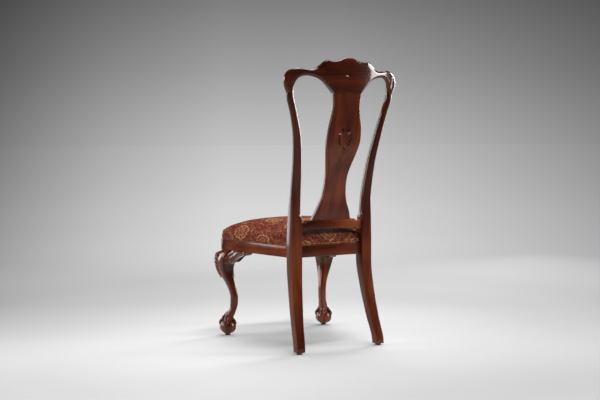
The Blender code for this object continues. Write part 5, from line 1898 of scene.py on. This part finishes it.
@dataclass
class SeatPad:
    """The upholstered seat: board, stuffed cushion, and dust cloth with its staples."""

    plan: SeatPlan
    brocade: Brocade = Brocade("wine_brocade")
    board_wood: Birch = Birch("birch_board")
    dust: DustCloth = DustCloth("black_dust_cloth")
    steel: Steel = Steel("plated_steel")
    cloth: float = 0.0017
    wrap: float = 0.0003
    slack: float = 0.0024
    rear_rise: float = 0.0100
    edge_lift: float = 0.0045
    fixed_rise: float = 0.018  # over the rails: below this nothing is drawn in or lifted
    hem_rise: float = 0.016
    hem_gap: float = 0.0009
    turn_in: float = 0.0042
    edge_facing: float = 0.2
    board_ease: float = 0.0012
    shoe_bottom: float = 0.4410
    shoe_front: float = 0.138
    voxel: float = 0.0058
    pressure: float = 4.0
    frames: int = 20
    held_height: float = 0.006
    most: float = 0.0045
    edge_height: float = 0.0326
    sag: float = 0.0035
    sag_cuts: int = 12
    staple_pitch: float = 0.028
    staple_crown: float = 0.0095
    staple_wire: float = 0.0006
    staple_inset: float = 0.009
    staple_gap: float = 0.0004
    corner_gap: float = 0.008
    side_gap: float = 0.037
    block_gap: float = 0.018
    staple_step: tuple[float, float] = (0.115, 0.118)  # in Y, where their row turns in past the rear blocks

    def shell(self) -> Mesh:
        """Makes the closed form of the cushion, drawn in a little before it is filled.

        Returns:
            A closed mesh.
        """
        shape = shape_of(merged_copy("seat_foam", flatten=False))
        slack = self.slack
        moved = []
        for vert in shape.verts:
            free = float(turned_on(vert.co.z, self.plan.top + self.fixed_rise, 0.012))
            place = vert.co + vert.normal * (self.cloth + self.wrap - slack * free) * vert.calc_shell_factor()
            steep = turned_on(math.hypot(vert.normal.x, vert.normal.y), 0, 0.7)
            place.z += self.edge_lift * free * float(steep * turned_on(place.y, 0.10, -0.08))
            rear = float(turned_on(place.y, 0.02, 0.10)) * free
            place.z += rear * self.rear_rise * (0.35 + 0.90 * float(turned_on(abs(place.x), 0.07, 0.05)))
            if vert.co.z < self.plan.top + self.hem_rise:
                place.z = self.plan.top + self.hem_gap
            moved.append(place)
        for vert, place in zip(shape.verts, moved):
            vert.co = place
        return mesh_of(shape)

    def simulated(self, net: Mesh, held: Sequence[int]) -> Mesh:
        """Fills the cushion as a cloth simulation does, without weight.

        Args:
            net: the even net that stands for its cloth.
            held: the vertices that stay in place.

        Returns:
            The net after the last frame.
        """
        holder = new_object("filling", net)
        holder.vertex_groups.new(name="held").add(held, 1.0, "REPLACE")
        settings = holder.modifiers.new("fill", "CLOTH").settings
        settings.vertex_group_mass = "held"
        settings.quality = 4
        settings.mass = 0.3
        settings.tension_stiffness = 18
        settings.compression_stiffness = 18
        settings.use_pressure = True
        settings.uniform_pressure_force = self.pressure
        settings.effector_weights.gravity = 0
        scene = bpy.context.scene
        for frame in range(1, self.frames + 1):
            scene.frame_set(frame)
        made = plain_result(holder)
        scene.frame_set(1)
        return made

    def filled(self, mesh: Mesh) -> Mesh:
        """Swells the cushion under its cloth, held along its lower edge.

        Args:
            mesh: the closed form of the cushion.
        """
        net = changed(mesh, ("REMESH", {"mode": "VOXEL", "voxel_size": self.voxel}))
        start, _ = places_of(net)
        low = start[:, 2] < start[:, 2].min() + self.held_height
        made = self.simulated(net, [int(index) for index in np.nonzero(low)[0]])
        end, _ = places_of(made)
        move = end - start
        length = np.linalg.norm(move, axis=1)
        move *= (self.most * np.tanh(length / self.most) / np.maximum(length, 1e-9))[:, None]
        places = start + move
        under = (places[:, 1] > self.shoe_front) & (places[:, 2] > self.shoe_bottom)
        places[under, 2] = self.shoe_bottom
        set_places(made, places)
        return made

    def lay_weave(self, mesh: Mesh) -> None:
        """Lays the cloth's own map over the crown and the sides, and marks its stitched lower edge, with
        painted shade along it, and a painted shadow under the shoe rail.

        Args:
            mesh: the cushion's mesh, which is changed.
        """
        places, normals = places_of(mesh)
        side, back, height = np.abs(places[:, 0]), places[:, 1], places[:, 2]
        drop = np.clip(self.plan.top + self.edge_height - height, 0, None)
        away = normals[:, :2] / np.maximum(np.linalg.norm(normals[:, :2], axis=1), 0.15)[:, None]
        spread = places[:, :2] + away * drop[:, None]
        rise = height - self.plan.top
        # The lower edge: its stitches are the cloth's own, and the dark band along it, where the cushion
        # meets the rails and strongest at the back, is painted shade.
        hem = turned_on(rise, 0.0075, -0.002) * turned_on(rise, 0.0015, 0.001)
        write_attribute(mesh, "hem", hem * (0.35 + 0.65 * turned_on(back, 0.13, 0.04)))
        # Painted shadow: the cloth just under the shoe rail is marked to go nearly black.
        under = turned_on(back, 0.035, 0.04) * turned_on(rise, 0.036, 0.007) * turned_on(rise, 0.060, -0.006)
        write_attribute(mesh, "deep", 0.9 * under * turned_on(side, 0.138, -0.012))
        layer = mesh.uv_layers.new(name="weave")
        corners = np.zeros(len(mesh.loops), np.int64)
        mesh.loops.foreach_get("vertex_index", corners)
        layer.data.foreach_set("uv", spread[corners].astype(np.float32).ravel())

    def board(self) -> Mesh:
        """Makes the plywood board, drawn in so that the cloth can turn under its edge.

        Returns:
            A closed mesh.
        """
        shape = shape_of(merged_copy("seat_board"))
        for vert in shape.verts:
            flat = Vector((vert.normal.x, vert.normal.y, 0))
            if flat.length > self.edge_facing:
                vert.co -= flat.normalized() * self.turn_in
        return eased(mesh_of(shape), self.board_ease)

    def dust_cloth(self, bench: Bench) -> None:
        """Adds the cloth under the seat, which hangs a little between its staples.

        Args:
            bench: makes the pieces.
        """
        shape = shape_of(merged_copy("dust_cover"))
        low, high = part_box("dust_cover")
        for axis, direction in enumerate((Vector((1, 0, 0)), Vector((0, 1, 0)))):
            for place in np.linspace(low[axis], high[axis], self.sag_cuts + 2)[1:-1]:
                cut_across(shape, direction * float(place), direction)
        middle, half = (low + high) / 2, (high - low) / 2
        for vert in shape.verts:
            x, y = (vert.co.x - middle.x) / half.x, (vert.co.y - middle.y) / half.y
            vert.co.z -= self.sag * max(1 - x * x, 0) * max(1 - y * y, 0)
        mesh = mesh_of(shape)
        cloth = bench.piece("dust_cloth", mesh, self.dust, ["dust_cover"])

    def staple_row(self) -> list[Row]:
        """Works out the row of the staples, round the rear blocks.

        Returns:
            Its corners in order.
        """
        low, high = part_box("dust_cover")
        z = low.z - self.staple_gap
        front_x = self.plan.side_face(low.y).x - self.plan.rail - self.staple_inset - self.corner_gap
        front_y, back_y = low.y + self.staple_inset, high.y - self.staple_inset
        side_y, step_y = self.staple_step
        side_x = self.plan.side_face(side_y).x - self.side_gap
        inner = self.plan.spread - self.plan.post / 2 - self.block_gap
        left = [(front_x, front_y, z), (side_x, side_y, z), (inner, step_y, z), (inner, back_y, z)]
        right = [(-x, y, z) for x, y, _ in reversed(left)]
        return [right[-1], *left, *right[:-1]]

    def staples(self, bench: Bench) -> None:
        """Adds the staples along the edge of the dust cloth.

        Args:
            bench: makes the pieces.
        """
        sizes = {"Pitch": self.staple_pitch, "Crown": self.staple_crown, "Wire": self.staple_wire}
        tree = Tree("staples", sizes)
        curve = tree.take("GeometryNodeMeshToCurve", {"Mesh": tree.given("Geometry")})
        row = {"Curve": curve, "Length": tree.given("Pitch")}
        spots = tree.place("GeometryNodeCurveToPoints", row, mode="LENGTH").outputs
        bar = {"Length": tree.given("Crown"), "Direction": (0, 0, 1)}
        wire = tree.take("GeometryNodeCurvePrimitiveLine", bar, mode="DIRECTION")
        centred = tree.take("GeometryNodeResampleCurve", {"Curve": wire, "Count": 5})
        placed = tree.take("GeometryNodeInstanceOnPoints", {
            "Points": Field(tree, spots["Points"]),
            "Instance": tree.swept(centred, 8, tree.given("Wire")),
            "Rotation": Field(tree, spots["Rotation"]),
        })
        mesh = tree.run(path_mesh([self.staple_row()], closed=True), placed, bench.finish(self.steel))
        bench.piece("dust_staples", mesh, self.steel)

    def build(self, bench: Bench) -> None:
        """Adds the pad.

        Args:
            bench: makes the pieces.
        """
        mesh = changed(self.filled(self.shell()), ("SUBSURF", {"levels": 1, "render_levels": 1}))
        self.lay_weave(mesh)
        nodes = ["seat_cover", "seat_foam"]
        cushion = bench.piece("cushion", mesh, self.brocade, nodes, smooth=70)
        bench.piece("board", self.board(), self.board_wood, ["seat_board"])
        self.dust_cloth(bench)
        self.staples(bench)


@dataclass
class Glides:
    """Nail-on glides under the four feet, each made a share of the solid's height."""

    heights: tuple[tuple[str, float], ...] = (("front", 0.62), ("rear", 0.85))
    nylon: Nylon = Nylon("brown_nylon")

    def build(self, bench: Bench) -> None:
        """Adds the glides.

        Args:
            bench: makes the pieces.
        """
        for end, share in self.heights:
            for side in Side:
                node = f"glide_{end}_{side.word}"
                mesh = merged_copy(node)
                for vert in mesh.vertices:
                    vert.co.z *= share
                bench.piece(f"foot_{end}_{side.word}", mesh, self.nylon, [node])


@dataclass(frozen=True)
class Lamp:
    """A soft panel that faces the chair."""

    name: str
    bearing: float  # in degrees from +X
    distance: float
    height: float
    width: float
    length: float
    radiance: float

    @property
    def place(self) -> Row:
        """Where its middle is."""
        turn = math.radians(self.bearing)
        return self.distance * math.cos(turn), self.distance * math.sin(turn), self.height


@dataclass
class Studio:
    """Floor, lamps, pale backdrop and the camera."""

    camera_place: Row = (2.15338, 3.53057, 0.80678)
    turn: float = math.radians(30.93)
    pitch: float = math.radians(-3.58)
    lens: float = 63.9
    sensor: float = 36.0
    reach: float = 200.0
    ambient: float = 0.42
    sun_place: Row = (-0.9, -1.3, 2.6)
    sun_level: float = 0.50
    sun_angle: float = math.radians(44)
    lit_place: Row = (0.0, 0.0, 0.6)
    spread: float = math.radians(45)
    far_tone: float = 0.38
    floor_size: float = 60.0
    lamps: tuple[Lamp, ...] = (
        Lamp("left_bank", -27.0, 3.4, 1.35, 1.0, 1.9, 1.10),
        Lamp("left_panel", -66.0, 3.6, 1.10, 1.3, 2.2, 0.50),
        Lamp("right_bank", 149.5, 3.4, 1.30, 0.95, 2.0, 1.55),
        Lamp("right_panel", 196.0, 3.6, 1.20, 1.8, 2.0, 1.60),
        Lamp("top_strip", 100.0, 0.70, 2.90, 1.7, 0.4, 2.00))
    # how brightly the floor is lit at each distance from the chair, which the floor's painted pool of light
    # is divided by
    floor_levels: Rows = (
        (0.0, 1.66), (0.5, 1.57), (0.8, 1.45), (1.1, 1.33), (1.53, 1.06), (2.2, 0.88), (2.7, 0.83),
        (3.6, 0.80), (5.0, 0.81), (9.0, 0.82))
    rise_tones: Rows = (
        (-0.25, 0.865), (-0.197, 0.83), (-0.157, 0.725), (-0.07, 0.67), (0.0, 0.53), (0.06, 0.355),
        (0.12, 0.22), (0.30, 0.10))
    side_tones: Rows = (
        (-45.0, 0.13), (-20.0, 0.28), (-16.0, 0.34), (-10.0, 0.70), (-4.0, 0.97), (2.0, 0.97), (8.0, 0.78),
        (16.0, 0.47), (22.0, 0.37), (50.0, 0.13))
    side_powers: Rows = (
        (-0.25, 0.12), (-0.19, 0.17), (-0.155, 0.55), (-0.06, 0.85), (0.0, 1.0), (0.12, 1.15))

    @property
    def right(self) -> Row:
        """The camera's right, level."""
        return -math.cos(self.turn), math.sin(self.turn), 0.0

    def ahead(self, pitch: float) -> Row:
        """The camera's way ahead at a pitch."""
        flat = math.cos(pitch)
        return -math.sin(self.turn) * flat, -math.cos(self.turn) * flat, math.sin(pitch)

    def camera(self) -> None:
        """Sets the camera at the photograph's viewing angle."""
        data = bpy.data.cameras.new("view")
        data.lens = self.lens
        data.sensor_width = self.sensor
        data.clip_end = self.reach
        ahead, right = Vector(self.ahead(self.pitch)), Vector(self.right)
        turned = Matrix((right, right.cross(ahead), -ahead)).transposed().to_4x4()
        camera = new_object("view", data)
        camera.matrix_world = Matrix.Translation(self.camera_place) @ turned
        bpy.context.scene.camera = camera

    def hang(self, name: str, kind: str, place: Row, target: Row, energy: float) -> bpy.types.Object:
        """Hangs one lamp, which shows only by what it lights.

        Args:
            name: the lamp's name.
            kind: what sort of lamp it is.
            place: where it hangs.
            target: what it faces.
            energy: its power.

        Returns:
            The lamp.
        """
        data = bpy.data.lights.new(name, kind)
        data.energy = energy
        turned = (Vector(target) - Vector(place)).to_track_quat("-Z", "Y").to_matrix().to_4x4()
        item = new_object(name, data)
        item.matrix_world = Matrix.Translation(place) @ turned
        item.visible_camera = False
        return item

    def light(self) -> None:
        """Hangs the soft top light and the panels round the chair."""
        sky = self.hang("top_light", "SUN", self.sun_place, (0.0, 0.0, 0.0), self.sun_level * math.pi)
        sky.data.angle = self.sun_angle
        for lamp in self.lamps:
            energy = lamp.radiance * lamp.width * lamp.length * math.pi
            panel = self.hang(lamp.name, "AREA", lamp.place, self.lit_place, energy).data
            panel.shape = "RECTANGLE"
            panel.size = lamp.width
            panel.size_y = lamp.length
            panel.spread = self.spread

    def ramped(self, wiring: Wiring, value: Field, stops: Sequence[Row]) -> Field:
        """Reads a run of tones.

        Args:
            wiring: the world's nodes or the floor's.
            value: where to read.
            stops: rows of a value and its tone, with rising values.

        Returns:
            The tone there.
        """
        low, high = stops[0][0], stops[-1][0]
        share = wiring.take("ShaderNodeMapRange", {"Value": value, "From Min": low, "From Max": high})
        return wiring.ramp(share, [((place - low) / (high - low), (tone,) * 3) for place, tone in stops])

    def tone(self, wiring: Wiring, sight: Field) -> Field:
        """Gives the sweep's tone along a line of sight: a soft pool of light behind the chair.

        Args:
            wiring: the world's nodes or the floor's.
            sight: the direction, of length one.

        Returns:
            The tone, 1 for white.
        """
        ahead, right = wiring.along(sight, self.ahead(0.0)), wiring.along(sight, self.right)
        rise = wiring.along(sight, (0.0, 0.0, 1.0))
        bearing = wiring.math("DEGREES", wiring.math("ARCTAN2", right, ahead))
        level = self.ramped(wiring, rise, self.rise_tones)
        aside = self.ramped(wiring, bearing, self.side_tones)
        pool = level * wiring.math("POWER", aside, self.ramped(wiring, rise, self.side_powers))
        turned = wiring.ranged(abs(bearing), 17.0, 36.0, 1.0, self.far_tone)
        below = wiring.ranged(rise, -0.40, -0.27, self.far_tone, 1.0)
        return pool * wiring.math("MINIMUM", turned, below)

    def backdrop(self) -> None:
        """Lights the room evenly and shows a pale sweep behind the chair."""
        world = bpy.data.worlds.new("room")
        bpy.context.scene.world = world
        world.use_nodes = True
        wiring = Wiring(world.node_tree)
        sight = wiring.take("ShaderNodeTexCoord", {}, "Generated")
        even = wiring.take("ShaderNodeBackground", {"Color": (1.0, 1.0, 1.0), "Strength": self.ambient})
        shown = wiring.take("ShaderNodeBackground", {"Color": self.tone(wiring, sight)})
        path = wiring.place("ShaderNodeLightPath", {}).outputs
        rays = ("Is Camera Ray", "Is Glossy Ray", "Is Transmission Ray")
        seen = wiring.most(*[Field(wiring, path[ray]) for ray in rays])
        mixed = wiring.take("ShaderNodeMixShader", {0: seen, 1: even, 2: shown})
        wiring.place("ShaderNodeOutputWorld", {"Surface": mixed})

    def floor(self) -> None:
        """Lays the pale floor, which runs into the backdrop. Its colour is the sweep's painted pool of light,
        divided by how brightly the floor is lit at each distance from the chair.
        """
        shape = bmesh.new()
        bmesh.ops.create_grid(shape, x_segments=4, y_segments=4, size=self.floor_size)
        wiring = Surface("studio_floor")
        place = wiring.object_coordinates()
        sight = wiring.vector("NORMALIZE", wiring.vector("SUBTRACT", place, self.camera_place))
        apart = wiring.vector("LENGTH", place, output="Value")
        # Painted pool of light on the floor: the sweep's tone, divided by how brightly the floor is lit.
        tone = self.tone(wiring, sight) / self.ramped(wiring, apart, self.floor_levels)
        mesh = mesh_of(shape)
        mesh.materials.append(wiring.shade({"Base Color": tone, "Roughness": 0.9, "Specular IOR Level": 0.0}))
        new_object("studio_floor", mesh)

    def build(self) -> None:
        """Sets the whole studio."""
        self.camera()
        self.light()
        self.backdrop()
        self.floor()
        bpy.context.scene.view_settings.view_transform = "Standard"


def main() -> None:
    """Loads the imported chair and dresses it, one sub-assembly after another."""
    logging.basicConfig(level=logging.INFO, format="%(name)s: %(message)s")
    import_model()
    Studio().build()
    bench = Bench()
    plan = SeatPlan()
    crest = CrestRail(plan)
    legs = FrontLegs(plan)
    parts = (
        RearPosts(plan), crest, Splat(plan, crest), SeatRails(), legs, KneeBrackets(plan, legs),
        FrameHardware(), SeatPad(plan), Glides())
    for part in parts:
        part.build(bench)
        LOG.info("%s done", type(part).__name__)
    LOG.info("%d pieces", bench.count)


if __name__ == "__main__":
    main()
